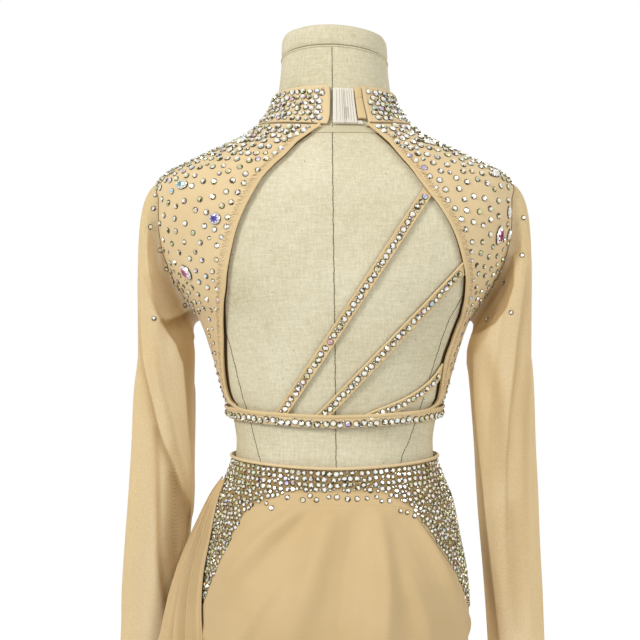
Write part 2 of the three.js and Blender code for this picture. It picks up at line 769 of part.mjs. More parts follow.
// Sleeves: sewn into the armhole, over the shoulder, then hanging to the open cuff.
function armholePoint(side, q) {
  const inset = 0.8;
  const at = (q <= 0.5 ? q : 1 - q) * 2 * (ARMHOLE.length - 1);
  const first = Math.min(Math.floor(at), ARMHOLE.length - 2);
  const middle = (ARMHOLE[0].height + ARMHOLE[ARMHOLE.length - 1].height) / 2;
  const height = THREE.MathUtils.lerp(ARMHOLE[first].height, ARMHOLE[first + 1].height, at - first);
  const spread = THREE.MathUtils.lerp(ARMHOLE[first].spread, ARMHOLE[first + 1].spread, at - first);
  const branch = q <= 0.5 ? -1 : 1;
  const turn = side * (90 + branch * Math.max(0, spread - 0.35));
  return lifted(middle + (height - middle) * (1 - (2 * inset) / 151), turn, CLOTH_LIFT + CLOTH_WALL);
}
function sleeveSection(side, rows, height, q, folds) {
  const at = (column) => through(rows.slice().reverse(), "height", column)(height);
  const round = 360 * q;
  const rise = folds.reduce((sum, fold) => {
    const fall = (fold.top - height) / (fold.top - fold.end);
    if (fall < 0 || fall > 1) return sum;
    const centre = THREE.MathUtils.lerp(fold.topTurn, fold.endTurn, fall);
    const away = ((((round - centre) % 360) + 540) % 360) - 180;
    return sum + fold.rise * Math.sin(Math.PI * fall) ** 0.6 * Math.exp(-((away / fold.width) ** 2));
  }, 0);
  const middle = (at("outer") + at("inner")) / 2;
  const half = (at("outer") - at("inner")) / 2;
  const across = Math.cos(radians(round));
  const along = Math.sin(radians(round));
  return new THREE.Vector3(
    side * (middle + (half - 2 + rise) * across),
    at("middle") - (at("depth") + rise) * along,
    height,
  );
}
function sleeve(side, rows, folds) {
  const columns = Array.from({ length: SLEEVE_COLUMNS }, (_, i) => i / SLEEVE_COLUMNS);
  const start = rows[0].height;
  const head = Array.from({ length: HEAD_ROWS }, (_, row) => {
    const t = row / HEAD_ROWS;
    return columns.map((q) => {
      const from = armholePoint(side, q);
      const to = sleeveSection(side, rows, start, q, folds);
      const fall = from.z - to.z;
      const out = new THREE.Vector3(side * (8 + 0.1 * fall), 0, -0.06 * fall);
      const curve = new THREE.CubicBezierCurve3(
        from,
        from.clone().add(out),
        to.clone().add(new THREE.Vector3(0, 0, 0.5 * fall)),
        to,
      );
      return curve.getPoint(t);
    });
  });
  const levels = Array.from({ length: 13 }, (_, i) => THREE.MathUtils.lerp(start, rows.at(-1).height, i / 12));
  const tube = levels.map((height) => columns.map((q) => sleeveSection(side, rows, height, q, folds)));
  const outer = [...head, ...tube];
  return hangingCloth(side > 0 ? outer.map((line) => line.slice().reverse()) : outer, true);
}
addPiece("sleeve_left", sleeve(-1, LEFT_SLEEVE, LEFT_SLEEVE_FOLDS), "mesh");
addPiece("sleeve_right", sleeve(1, RIGHT_SLEEVE, RIGHT_SLEEVE_FOLDS), "mesh");

// Large sew-on stones: flat backs, sloping sides and a smaller flat table.
const STONE_SIDES = 10;
const STONE_RINGS = table("size rise", [[1, 0], [1, 0.35], [0.6, 1]]);
for (const stone of STONES) {
  const out = bodyNormal(stone.height, stone.turn);
  const across = new THREE.Vector3(0, 0, 1).cross(out).normalize();
  const up = out.clone().cross(across);
  const lean = radians(stone.lean);
  const middle = lifted(stone.height, stone.turn, TRIM_LIFT + 0.3);
  const rings = STONE_RINGS.map(({ size, rise }) =>
    Array.from({ length: STONE_SIDES }, (_, i) => {
      const angle = (i * 2 * Math.PI) / STONE_SIDES;
      const taper = 1 - stone.point * Math.max(0, Math.cos(angle)) ** 2;
      const long = (size * stone.length * Math.cos(angle)) / 2;
      const wide = (size * stone.width * taper * Math.sin(angle)) / 2;
      return middle
        .clone()
        .addScaledVector(up, long * Math.cos(lean) - wide * Math.sin(lean))
        .addScaledVector(across, long * Math.sin(lean) + wide * Math.cos(lean))
        .addScaledVector(out, rise * stone.rise);
    }),
  );
  addPiece(stone.name, ringedSolid(rings), "crystal");
}

export default costume;
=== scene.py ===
"""A lyrical dance costume on its limbless dress form, seen from the back.

Lengths are millimetres and angles degrees until a mesh is made. A place on the body is its
height, its turn round the body from the centre back (growing towards the wearer's right), and
its lift out from the form's surface.
"""

import math

import bpy
import numpy as np
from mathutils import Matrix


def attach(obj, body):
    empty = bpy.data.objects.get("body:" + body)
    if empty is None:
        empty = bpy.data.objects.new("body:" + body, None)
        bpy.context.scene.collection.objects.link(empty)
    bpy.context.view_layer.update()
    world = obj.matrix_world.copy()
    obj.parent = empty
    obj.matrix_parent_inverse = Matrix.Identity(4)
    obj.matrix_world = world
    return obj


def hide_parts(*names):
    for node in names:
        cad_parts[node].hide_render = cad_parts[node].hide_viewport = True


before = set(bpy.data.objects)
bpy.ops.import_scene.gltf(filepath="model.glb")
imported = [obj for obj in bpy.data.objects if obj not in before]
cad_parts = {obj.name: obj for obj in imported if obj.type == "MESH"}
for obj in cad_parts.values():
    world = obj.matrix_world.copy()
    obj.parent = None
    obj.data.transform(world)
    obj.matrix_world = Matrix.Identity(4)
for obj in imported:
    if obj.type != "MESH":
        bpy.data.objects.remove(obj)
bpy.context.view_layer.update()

# ---------------------------------------------------------------------------------------------
# Camera: level with the shoulder blades, behind the costume. It sees the form from its neck
# cap to the hips, as a portrait lens does from about a metre and a quarter.
# ---------------------------------------------------------------------------------------------
CAMERA_PLACE = (-16, -1250, 1190)
CAMERA_FOCUS = 1136.4  # distance at which one pixel of a 640 px frame is one millimetre

camera_data = bpy.data.cameras.new("portrait_lens")
camera_data.sensor_width = 36
camera_data.lens = CAMERA_FOCUS * camera_data.sensor_width / 640
camera = bpy.data.objects.new("camera", camera_data)
camera.location = [length / 1000 for length in CAMERA_PLACE]
camera.rotation_euler = (math.radians(90), 0, 0)
bpy.context.collection.objects.link(camera)
bpy.context.scene.camera = camera

# ---------------------------------------------------------------------------------------------
# Studio: a white paper sweep and three soft boxes, the strongest high on the left. Seen
# directly the paper is blank white; what it throws back on the costume is a good deal less.
# ---------------------------------------------------------------------------------------------
PAPER_WHITE = "#ffffff"
BOUNCE = 0.6
SOFT_BOXES = {
    "soft_box_key": {"place": (-1900, -1950, 2700), "size": 900, "watts": 64},
    "soft_box_fill": {"place": (2100, -1500, 1900), "size": 1500, "watts": 25},
    "soft_box_front": {"place": (500, 2400, 2300), "size": 1500, "watts": 34},
}


def linear(hex_colour):
    """An sRGB hex colour as a linear RGBA tuple."""
    parts = [int(hex_colour[i : i + 2], 16) / 255 for i in (1, 3, 5)]
    return tuple(p / 12.92 if p <= 0.04045 else ((p + 0.055) / 1.055) ** 2.4 for p in parts) + (1,)


def add_node(tree, kind, settings=None, **sockets):
    """Adds a node. A socket is named by its words or by i and its number, and takes a number,
    a colour or another node's output."""
    node = tree.nodes.new(kind)
    for key, value in (settings or {}).items():
        setattr(node, key, value)
    for key, value in sockets.items():
        numbered = key[0] == "i" and key[1:].isdigit()
        socket = node.inputs[int(key[1:]) if numbered else key.replace("_", " ")]
        if isinstance(value, bpy.types.NodeSocket):
            tree.links.new(value, socket)
        else:
            socket.default_value = value
    return node


def new_material(name):
    """An empty node material."""
    material = bpy.data.materials.new(name)
    material.use_nodes = True
    material.node_tree.nodes.clear()
    return material, material.node_tree


bpy.context.scene.view_settings.view_transform = "Standard"
room = bpy.data.worlds.new("white_room")
room.use_nodes = True
room.node_tree.nodes.clear()
seen = add_node(room.node_tree, "ShaderNodeLightPath").outputs["Is Camera Ray"]
bounced = add_node(room.node_tree, "ShaderNodeBackground", Color=linear(PAPER_WHITE), Strength=BOUNCE)
direct = add_node(room.node_tree, "ShaderNodeBackground", Color=linear(PAPER_WHITE), Strength=1.0)
either = add_node(room.node_tree, "ShaderNodeMixShader", i0=seen, i1=bounced.outputs[0], i2=direct.outputs[0])
add_node(room.node_tree, "ShaderNodeOutputWorld", Surface=either.outputs[0])
bpy.context.scene.world = room

# White background paper: matt, so it only takes a faint soft shadow where the base stands.
paper, tree = new_material("white_background_paper")
seen = add_node(tree, "ShaderNodeLightPath").outputs["Is Camera Ray"]
matt = add_node(tree, "ShaderNodeBsdfDiffuse", Color=linear("#dcdcdc"))
faint = add_node(tree, "ShaderNodeBsdfDiffuse", Color=linear("#8a8a8a"))
blank = add_node(tree, "ShaderNodeEmission", Color=linear(PAPER_WHITE), Strength=0.85)
lit = add_node(tree, "ShaderNodeAddShader", i0=faint.outputs[0], i1=blank.outputs[0])
either = add_node(tree, "ShaderNodeMixShader", i0=seen, i1=matt.outputs[0], i2=lit.outputs[0])
add_node(tree, "ShaderNodeOutputMaterial", Surface=either.outputs[0])

FLOOR_REACH = 60
floor_mesh = bpy.data.meshes.new("studio_floor")
corners = [(x * FLOOR_REACH, y * FLOOR_REACH, 0) for x, y in ((-1, -1), (1, -1), (1, 1), (-1, 1))]
floor_mesh.from_pydata(corners, [], [(0, 1, 2, 3)])
floor_mesh.materials.append(paper)
floor = bpy.data.objects.new("studio_floor", floor_mesh)
bpy.context.collection.objects.link(floor)

for name, box in SOFT_BOXES.items():
    light = bpy.data.lights.new(name, "AREA")
    light.size = box["size"] / 1000
    light.energy = box["watts"]
    lamp = bpy.data.objects.new(name, light)
    lamp.location = [length / 1000 for length in box["place"]]
    aim = np.array((0, 0, 1150)) - np.array(box["place"])
    lean = math.atan2(math.hypot(aim[0], aim[1]), -aim[2])
    lamp.rotation_euler = (lean, 0, math.atan2(aim[1], aim[0]) - math.pi / 2)
    bpy.context.collection.objects.link(lamp)

# ---------------------------------------------------------------------------------------------
# Dress form: a padded torso covered in unbleached linen, sewn from gores with a seam down the
# centre back and a curved one each side of it, a tape round the neck, and a capped neck.
# ---------------------------------------------------------------------------------------------
LINEN = "#d9d2b8"
LINEN_SHADE = "#b7ad8b"
LINEN_SPECK = "#7d7254"
SEAM_SHADOW = "#574b33"
FORM_BOTTOM = 812
CLOTH_LIFT = 2.0
CLOTH_WALL = 1.3
TRIM_LIFT = CLOTH_LIFT + CLOTH_WALL + 0.8
SEAM_TURN = 0.15


def table(columns, rows):
    """Rows of numbers as dictionaries named by their columns."""
    return [dict(zip(columns.split(), row)) for row in rows]


BODY = table("height side back front lean square", [
    (810, 139, 114, 96, 0, 2.2),
    (840, 142, 118, 99, 0, 2.2),
    (877, 143, 121, 101, 0, 2.2),
    (910, 141, 119, 101, 0, 2.2),
    (955, 133, 108, 98, 0, 2.15),
    (994, 125, 94, 94, 0, 2.1),
    (1020, 115, 84, 90, 0, 2.1),
    (1040, 108.5, 79, 87, 0, 2.1),
    (1057, 107.5, 79, 87, 0, 2.1),
    (1083, 111, 82, 92, 0, 2.1),
    (1110, 119, 87, 100, 0, 2.15),
    (1152, 131, 94, 111, 0, 2.2),
    (1190, 144, 99, 120, 0, 2.35),
    (1215, 160, 102, 122, 0, 2.5),
    (1240, 175, 104, 119, 0, 2.6),
    (1270, 186, 104, 111, 0, 2.7),
    (1300, 192, 102, 102, 0, 2.8),
    (1325, 193, 98, 95, 0, 2.8),
    (1335, 190, 96, 92, 0, 2.8),
    (1345, 181, 93, 89, 0, 2.75),
    (1354, 164, 90, 86, 0, 2.6),
    (1367, 138, 86, 82, 0, 2.4),
    (1376, 119, 82, 79, 1, 2.3),
    (1385, 101, 78, 75, 2, 2.2),
    (1397, 86, 72, 70, 3, 2.1),
    (1405, 78, 69, 66, 4, 2.05),
    (1425, 66, 62, 59, 6, 2.0),
    (1443, 61.5, 58, 55, 8, 2.0),
    (1480, 58.5, 55, 53, 12, 2.0),
    (1516, 58.5, 55, 53, 14, 2.0),
])


def curve_through(rows, across, up):
    """A smooth curve through two columns of a table that never swings past its rows."""
    x, y = (np.array([row[column] for row in rows], float) for column in (across, up))
    if x[0] > x[-1]:
        x, y = x[::-1], y[::-1]
    rate = np.diff(y) / np.diff(x)
    slope = np.zeros_like(x)
    slope[0], slope[-1] = rate[0], rate[-1]
    same = rate[:-1] * rate[1:] > 0
    slope[1:-1][same] = 2 / (1 / rate[:-1][same] + 1 / rate[1:][same])

    def value(at):
        i = np.clip(np.searchsorted(x, at, side="right") - 1, 0, len(x) - 2)
        step = x[i + 1] - x[i]
        t = np.clip((at - x[i]) / step, 0, 1)
        ends = (2 * t**3 - 3 * t**2 + 1) * y[i] + (3 * t**2 - 2 * t**3) * y[i + 1]
        return ends + step * ((t**3 - 2 * t**2 + t) * slope[i] + (t**3 - t**2) * slope[i + 1])

    return value


body = {
    column: curve_through(BODY, "height", column)
    for column in ("side", "back", "front", "lean", "square")
}


def unit(vectors):
    return vectors / np.linalg.norm(vectors, axis=-1, keepdims=True)


def on_body(height, turn):
    """Points on the form's surface."""
    height, turn = np.broadcast_arrays(np.asarray(height, float), np.asarray(turn, float))
    across, along = np.sin(np.radians(turn)), np.cos(np.radians(turn))
    depth = np.where(along > 0, body["back"](height), body["front"](height))
    square = body["square"](height)
    reach = (np.abs(across) / body["side"](height)) ** square + (np.abs(along) / depth) ** square
    radius = reach ** (-1 / square)
    return np.stack([radius * across, body["lean"](height) - radius * along, height], -1)


def body_normal(height, turn):
    round_ = on_body(height, np.asarray(turn) + 0.1) - on_body(height, np.asarray(turn) - 0.1)
    up = on_body(np.asarray(height) + 0.5, turn) - on_body(np.asarray(height) - 0.5, turn)
    return unit(np.cross(round_, up))


def lifted(height, turn, lift):
    """Points out from the form's surface by their lift."""
    return on_body(height, turn) + np.asarray(lift, float)[..., None] * body_normal(height, turn)


def mesh_piece(name, points, faces, materials, node=None, slot=None, uv=None, crease=40, shades=None):
    """A mesh object, in metres, that rides on the form. It stands for a CAD node where one is
    given, and shades are the numbers of its faces' materials."""
    mesh = bpy.data.meshes.new(name)
    mesh.from_pydata((np.asarray(points) / 1000).tolist(), [], faces)
    for material in materials if isinstance(materials, list) else [materials]:
        mesh.materials.append(material)
    if shades is not None:
        mesh.polygons.foreach_set("material_index", np.asarray(shades, np.int32).ravel())
    if uv is not None:
        layer = mesh.uv_layers.new(name="cloth")
        corner_points = np.empty(len(mesh.loops), np.int32)
        mesh.loops.foreach_get("vertex_index", corner_points)
        layer.data.foreach_set("uv", (np.asarray(uv)[corner_points] / 1000).ravel())
    if crease:
        mesh.shade_smooth()
        mesh.set_sharp_from_angle(angle=math.radians(crease))
    piece = bpy.data.objects.new(name, mesh)
    bpy.context.collection.objects.link(piece)
    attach(piece, "root")
    if node:
        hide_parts(node)
    return piece


def ring_faces(rings, count):
    """Quads between closed rings, with a single face at each end."""
    faces = []
    for ring in range(rings - 1):
        low, high = ring * count, (ring + 1) * count
        for i in range(count):
            j = (i + 1) % count
            faces.append((low + i, low + j, high + j, high + i))
    faces.append(tuple(reversed(range(count))))
    faces.append(tuple(range((rings - 1) * count, rings * count)))
    return faces


# Unbleached linen: plain weave with slubs, so it looks dry, faintly mottled and flecked.
def linen_material():
    material, tree = new_material("unbleached_linen")
    place = add_node(tree, "ShaderNodeTexCoord").outputs["Object"]
    warp = add_node(tree, "ShaderNodeMapping", Vector=place, Scale=(1.0, 1.0, 0.16))
    weft = add_node(tree, "ShaderNodeMapping", Vector=place, Scale=(0.16, 0.16, 1.0))
    threads = 1000 / 1.9  # threads of 0.6 mm, drawn at 1.9 mm so that they show
    up = add_node(tree, "ShaderNodeTexNoise", Vector=warp.outputs[0], Scale=threads, Detail=2.0)
    over = add_node(tree, "ShaderNodeTexNoise", Vector=weft.outputs[0], Scale=threads, Detail=2.0)
    weave = add_node(
        tree, "ShaderNodeMath", {"operation": "ADD"}, i0=up.outputs["Fac"], i1=over.outputs["Fac"]
    ).outputs[0]
    mottling = 11.0  # patches of about 90 mm
    mottle = add_node(tree, "ShaderNodeTexNoise", Vector=place, Scale=mottling, Detail=5.0).outputs["Fac"]
    fluff = 1000 / 1.7
    grain = add_node(tree, "ShaderNodeTexNoise", Vector=place, Scale=fluff, Detail=1.0).outputs["Fac"]
    share = add_node(tree, "ShaderNodeMath", {"operation": "ADD"}, i0=weave, i1=grain)
    share = add_node(tree, "ShaderNodeMath", {"operation": "MULTIPLY"}, i0=share.outputs[0], i1=0.75)
    share = add_node(tree, "ShaderNodeMath", {"operation": "ADD"}, i0=share.outputs[0], i1=mottle)
    share = add_node(tree, "ShaderNodeMapRange", i0=share.outputs[0], i1=1.2, i2=2.2)
    tone = add_node(
        tree,
        "ShaderNodeMix",
        {"data_type": "RGBA"},
        i0=share.outputs[0],
        i6=linear(LINEN),
        i7=linear(LINEN_SHADE),
    )
    flecks = 95.0  # cells to the metre, one each 10.5 mm, of which three in ten hold a fleck
    cells = add_node(tree, "ShaderNodeTexVoronoi", Vector=place, Scale=flecks)
    rare = add_node(tree, "ShaderNodeSeparateColor", Color=cells.outputs["Color"])
    near = add_node(
        tree, "ShaderNodeMath", {"operation": "LESS_THAN"}, i0=cells.outputs["Distance"], i1=0.06
    ).outputs[0]
    here = add_node(tree, "ShaderNodeMath", {"operation": "GREATER_THAN"}, i0=rare.outputs[0], i1=0.7)
    fleck = add_node(tree, "ShaderNodeMath", {"operation": "MULTIPLY"}, i0=near, i1=here.outputs[0])
    colour = add_node(
        tree,
        "ShaderNodeMix",
        {"data_type": "RGBA"},
        i0=fleck.outputs[0],
        i6=tone.outputs[2],
        i7=linear(LINEN_SPECK),
    )
    bump = add_node(tree, "ShaderNodeBump", Height=weave, Strength=0.3, Distance=0.0005)
    shader = add_node(
        tree,
        "ShaderNodeBsdfPrincipled",
        Base_Color=colour.outputs[2],
        Roughness=0.92,
        Specular_IOR_Level=0.15,
        Normal=bump.outputs["Normal"],
    )
    add_node(tree, "ShaderNodeOutputMaterial", Surface=shader.outputs[0])
    return material


# A single finish, such as moulded, brushed or painted, whose gloss wanders slightly.
def plain_material(name, colour, roughness, metallic=0.0, grain=300.0):
    material, tree = new_material(name)
    place = add_node(tree, "ShaderNodeTexCoord").outputs["Object"]
    noise = add_node(tree, "ShaderNodeTexNoise", Vector=place, Scale=grain, Detail=3.0).outputs["Fac"]
    rough = add_node(tree, "ShaderNodeMapRange", i0=noise, i3=roughness - 0.08, i4=roughness + 0.08)
    bump = add_node(tree, "ShaderNodeBump", Height=noise, Strength=0.1, Distance=0.0004)
    shader = add_node(
        tree,
        "ShaderNodeBsdfPrincipled",
        Base_Color=linear(colour),
        Metallic=metallic,
        Roughness=rough.outputs[0],
        Normal=bump.outputs["Normal"],
    )
    add_node(tree, "ShaderNodeOutputMaterial", Surface=shader.outputs[0])
    return material


linen = linen_material()
# Dark line for the form's seams: the stitching, its colour painted shadow of the seam grooves.
seam_shadow_line = plain_material("seam_line_painted_shadow", SEAM_SHADOW, 0.85)


NECK_SEAM = {"height": 1476, "back_rise": 7, "right_drop": 2.3}
FORM_STEP = 3.0
FORM_LEVELS = 115
FORM_NECK = 1455


def neck_seam(turn):
    """The height of the seam under the neck cap, highest at the centre back."""
    back_rise = NECK_SEAM["back_rise"] * np.cos(np.radians(turn))
    right_drop = NECK_SEAM["right_drop"] * np.sin(np.radians(turn))
    return NECK_SEAM["height"] + back_rise - right_drop


form_turns = np.arange(0, 360, FORM_STEP)
torso_levels = [
    np.full_like(form_turns, level) for level in np.linspace(FORM_BOTTOM, FORM_NECK, FORM_LEVELS)
]
torso_levels += [neck_seam(form_turns) - 10, neck_seam(form_turns) - 1.2, neck_seam(form_turns) - 0.5]
torso = np.concatenate([on_body(level, form_turns) for level in torso_levels])
mesh_piece("linen_torso", torso, ring_faces(len(torso_levels), len(form_turns)), linen, "form_torso", "linen")

CAP_RINGS = table("rise size", [
    (0, 0.985),
    (1.2, 1.0),
    (6, 1.004),
    (14, 1.0),
    (20, 0.985),
    (24, 0.95),
    (25.6, 0.88),
    (26, 0.7),
    (26, 0.4),
])
cap_rings = []
for ring in CAP_RINGS:
    level = neck_seam(form_turns) + 0.5 + ring["rise"] * (1 - 0.12 * np.cos(np.radians(form_turns)))
    middle = np.stack([0 * level, body["lean"](level), level], -1)
    cap_rings.append((on_body(level, form_turns) - middle) * ring["size"] + middle)
cap_faces = ring_faces(len(cap_rings), len(form_turns))
mesh_piece("linen_neck_cap", np.concatenate(cap_rings), cap_faces, linen, "form_neck_cap", "linen")


def tube_along(path, radius, sides=5):
    """Points and faces of a thin thread along a path of points, as thick as its radius says."""
    path = np.asarray(path, float)
    along = unit(np.gradient(path, axis=0))
    out = unit(np.cross(along, np.array([0.31, 0.62, 0.72])))
    other = np.cross(along, out)
    radius = np.broadcast_to(np.asarray(radius, float), (len(path),))[:, None]
    angles = np.linspace(0, 2 * np.pi, sides, endpoint=False)
    rings = [path + radius * (np.cos(a) * out + np.sin(a) * other) for a in angles]
    return np.stack(rings, axis=1).reshape(-1, 3), ring_faces(len(path), sides)


def joined(parts):
    """Several meshes as one."""
    points, faces, start = [], [], 0
    for some_points, some_faces in parts:
        points.append(some_points)
        faces += [tuple(i + start for i in face) for face in some_faces]
        start += len(some_points)
    return np.concatenate(points), faces


# The gore seams are thin dark tubes along the seam lines, their colour painted shadow of the valley where two
# gores meet.
SEAM_STEP = 1.3
SEAM_LIFT = 0.05
FORM_SEAMS = {
    "centre_back": [
        (1481, -3.4), (1375, -2.2), (1311, -1.6), (1230, -1), (1170, -0.5), (1108, -0.1), (1040, 0.4),
        (814, 0.6),
    ],
    "back_right": [
        (1344, 67), (1260, 64), (1185, 61.3), (1154, 60.4), (1126, 59.1), (1089, 57.1), (1066, 54.2),
        (1047, 48.4), (980, 40), (814, 38),
    ],
    "back_left": [
        (1344, -67), (1240, -63), (1165, -61.3), (1129, -61.5), (1095, -61.1), (1063, -58.8), (1040, -53.9),
        (980, -43), (814, -39),
    ],
    "centre_front": [(1468, 180), (1300, 180), (1040, 180), (814, 180)],
    "front_right": [(1344, 112), (1240, 128), (1150, 136), (1050, 140), (814, 142)],
    "front_left": [(1344, -112), (1240, -128), (1150, -136), (1050, -140), (814, -142)],
}
seams = []
for stations in FORM_SEAMS.values():
    rows = table("height turn", stations)
    height = np.arange(rows[0]["height"], rows[-1]["height"], -SEAM_STEP)
    turn = curve_through(rows, "height", "turn")(height)
    turn = turn + 0.12 * np.sin(height * 0.31) + 0.09 * np.sin(height * 0.83 + 2)
    stitch = 0.38 + 0.2 * np.sin(height * 2.1) * np.sin(height * 0.37 + 1)
    seams.append(tube_along(lifted(height, turn, np.full(len(height), SEAM_LIFT)), stitch))
mesh_piece("form_gore_seams", *joined(seams), seam_shadow_line, slot="linen")

# Piping of the same linen, caught in the seam under the cap.
CAP_PIPING = {"below_seam": 1.9, "lift": 0.1, "radius": 0.85, "sides": 8}
piping_turns = np.append(form_turns, 0)
piping_height = neck_seam(piping_turns) - CAP_PIPING["below_seam"]
piping_line = lifted(piping_height, piping_turns, np.full(len(piping_turns), CAP_PIPING["lift"]))
cap_piping = tube_along(piping_line, CAP_PIPING["radius"], CAP_PIPING["sides"])
mesh_piece("linen_cap_piping", *cap_piping, linen, slot="linen")

# ---------------------------------------------------------------------------------------------
# Stand: a brushed steel tube screwed into a weighted, powder-coated round base.
# ---------------------------------------------------------------------------------------------
brushed_steel = plain_material("brushed_steel", "#b9bbbd", 0.32, 1.0)
powder_coat = plain_material("black_powder_coat", "#2b2b2d", 0.55, 0.0, 900.0)
for node, material in (("stand_pole", brushed_steel), ("stand_base", powder_coat)):
    stand_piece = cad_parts[node]
    stand_piece.data.materials.clear()
    stand_piece.data.materials.append(material)

# ---------------------------------------------------------------------------------------------
# Back yokes and bodice front: nude nylon spandex, cut from collar to under-band. The edges of
# the open back are turned and zigzagged over elastic, which puckers the cloth beside them.
# ---------------------------------------------------------------------------------------------
NUDE = "#dcc69c"
NUDE_SHADE = "#ccb285"
ARMHOLE_SEAM_SHADE = "#8f7145"
# Dark brown painted shadow for the inside of the open back's turned edges.
FACING_PAINTED_SHADOW = "#6f5029"
ZIGZAG = {"from_edge": 6.4, "reach": 2.3, "step": 1.5, "thread": 0.3}
PUCKER = {"from_edge": 5, "width": 6, "rise": 1.3, "waves": (6.7, 4.9, 10.3)}
# How wide the facing's painted shadow shows inside the edge, by height.
FACING = table("height width", [
    (1400, 0.5),
    (1330, 0.7),
    (1270, 1.0),
    (1220, 1.5),
    (1180, 2.4),
    (1150, 3.2),
    (1125, 3.0),
    (1110, 1.6),
    (1100, 0.6),
])
LEFT_YOKE = table("edge_height edge_turn side_height side_turn", [
    (1390, -12, 1400.5, -90),
    (1382, -19, 1392, -90),
    (1371, -26.1, 1381, -90),
    (1360, -30.5, 1370, -90),
    (1350, -34.4, 1359, -90),
    (1341, -37.2, 1350, -90),
    (1332, -39.5, 1341, -89),
    (1328, -40.2, 1338.5, -85.5),
    (1324, -40.9, 1335, -82),
    (1320, -41.5, 1330, -79),
    (1307, -43.4, 1316, -75.5),
    (1295, -45, 1302, -75.5),
    (1282, -46.5, 1287, -77),
    (1269, -47.8, 1272, -79),
    (1256, -49.1, 1257, -81),
    (1241, -50.6, 1241, -83.5),
    (1226, -52.3, 1225, -86),
    (1209, -55.5, 1208, -88),
    (1191, -59.4, 1190, -90),
    (1170, -63.2, 1170, -90),
    (1150, -67.3, 1151, -90),
    (1133, -70.3, 1135, -90),
    (1116, -72.3, 1120, -90),
    (1106, -71.5, 1110, -90),
    (1100, -68, 1103, -90),
])
RIGHT_YOKE = table("edge_height edge_turn side_height side_turn", [
    (1391.5, 24.6, 1400.5, 90),
    (1384, 29.5, 1392, 90),
    (1374, 33.8, 1381, 90),
    (1365, 36.2, 1370, 90),
    (1356, 38.2, 1359, 90),
    (1343, 40.8, 1350, 90),
    (1332, 42.7, 1341, 89),
    (1329, 43.4, 1338.5, 85.5),
    (1325.5, 44.1, 1335, 82),
    (1322, 44.8, 1330, 79),
    (1311, 47.3, 1316, 75.5),
    (1299, 49.6, 1302, 75.5),
    (1286, 51.9, 1287, 77),
    (1272, 54.1, 1272, 79),
    (1257, 56.2, 1257, 81),
    (1241, 58.5, 1241, 83.5),
    (1225, 60.9, 1225, 86),
    (1208, 64, 1208, 88),
    (1191, 67, 1190, 90),
    (1170, 67, 1170, 90),
    (1152, 66.3, 1151, 90),
    (1135, 66.8, 1135, 90),
    (1117, 68.8, 1120, 90),
    (1107, 69.4, 1110, 90),
    (1100, 67.5, 1103, 90),
])


def sampled(rows, columns, count):
    """Several columns of a table, sampled smoothly along its rows."""
    ordered = [dict(row, order=i) for i, row in enumerate(rows)]
    at = np.linspace(0, len(rows) - 1, count)
    return [curve_through(ordered, "order", column)(at) for column in columns.split()]


def signed_volume(points, faces):
    a, b, c, d = (points[faces[:, i]] for i in range(4))
    return np.einsum("ij,ij->", a, np.cross(b, c)) + np.einsum("ij,ij->", a, np.cross(c, d))


def lengths_along(grid, axis):
    """How far each point of a grid lies along its row or column."""
    steps = np.linalg.norm(np.diff(grid, axis=axis), axis=-1)
    return np.concatenate([np.zeros_like(steps.take([0], axis)), np.cumsum(steps, axis=axis)], axis=axis)


def wall_piece(name, outer, inner, material, node=None, slot=None, closed=False, crease=40):
    """A cloth wall between two grids of points, its rims closed."""
    rows, columns = outer.shape[:2]
    count = rows * columns
    index = np.arange(count).reshape(rows, columns)
    if closed:
        index = np.concatenate([index, index[:, :1]], axis=1)
    sheet = np.stack([index[:-1, :-1], index[:-1, 1:], index[1:, 1:], index[1:, :-1]], -1).reshape(-1, 4)
    faces = [sheet, sheet[:, ::-1] + count]
    rims = [index[0], index[-1, ::-1]] + ([] if closed else [index[::-1, 0], index[:, -1]])
    for rim in rims:
        faces.append(np.stack([rim[1:], rim[:-1], rim[:-1] + count, rim[1:] + count], -1))
    faces = np.concatenate(faces)
    uv = np.stack([lengths_along(outer, 1), lengths_along(outer, 0)], -1).reshape(-1, 2)
    points = np.concatenate([outer.reshape(-1, 3), inner.reshape(-1, 3)])
    if signed_volume(points, faces) < 0:
        faces = faces[:, ::-1]
    return mesh_piece(name, points, faces.tolist(), material, node, slot, np.concatenate([uv, uv]), crease)


def grid_normal(grid, away_from, closed=False):
    """Unit normals of a grid of points, on the side that faces away from a middle."""
    if closed:
        across = np.roll(grid, -1, axis=1) - np.roll(grid, 1, axis=1)
    else:
        across = np.gradient(grid, axis=1)
    normal = unit(np.cross(across, np.gradient(grid, axis=0)))
    return normal * np.sign(np.mean(np.sum(normal * (grid - away_from), axis=-1)))
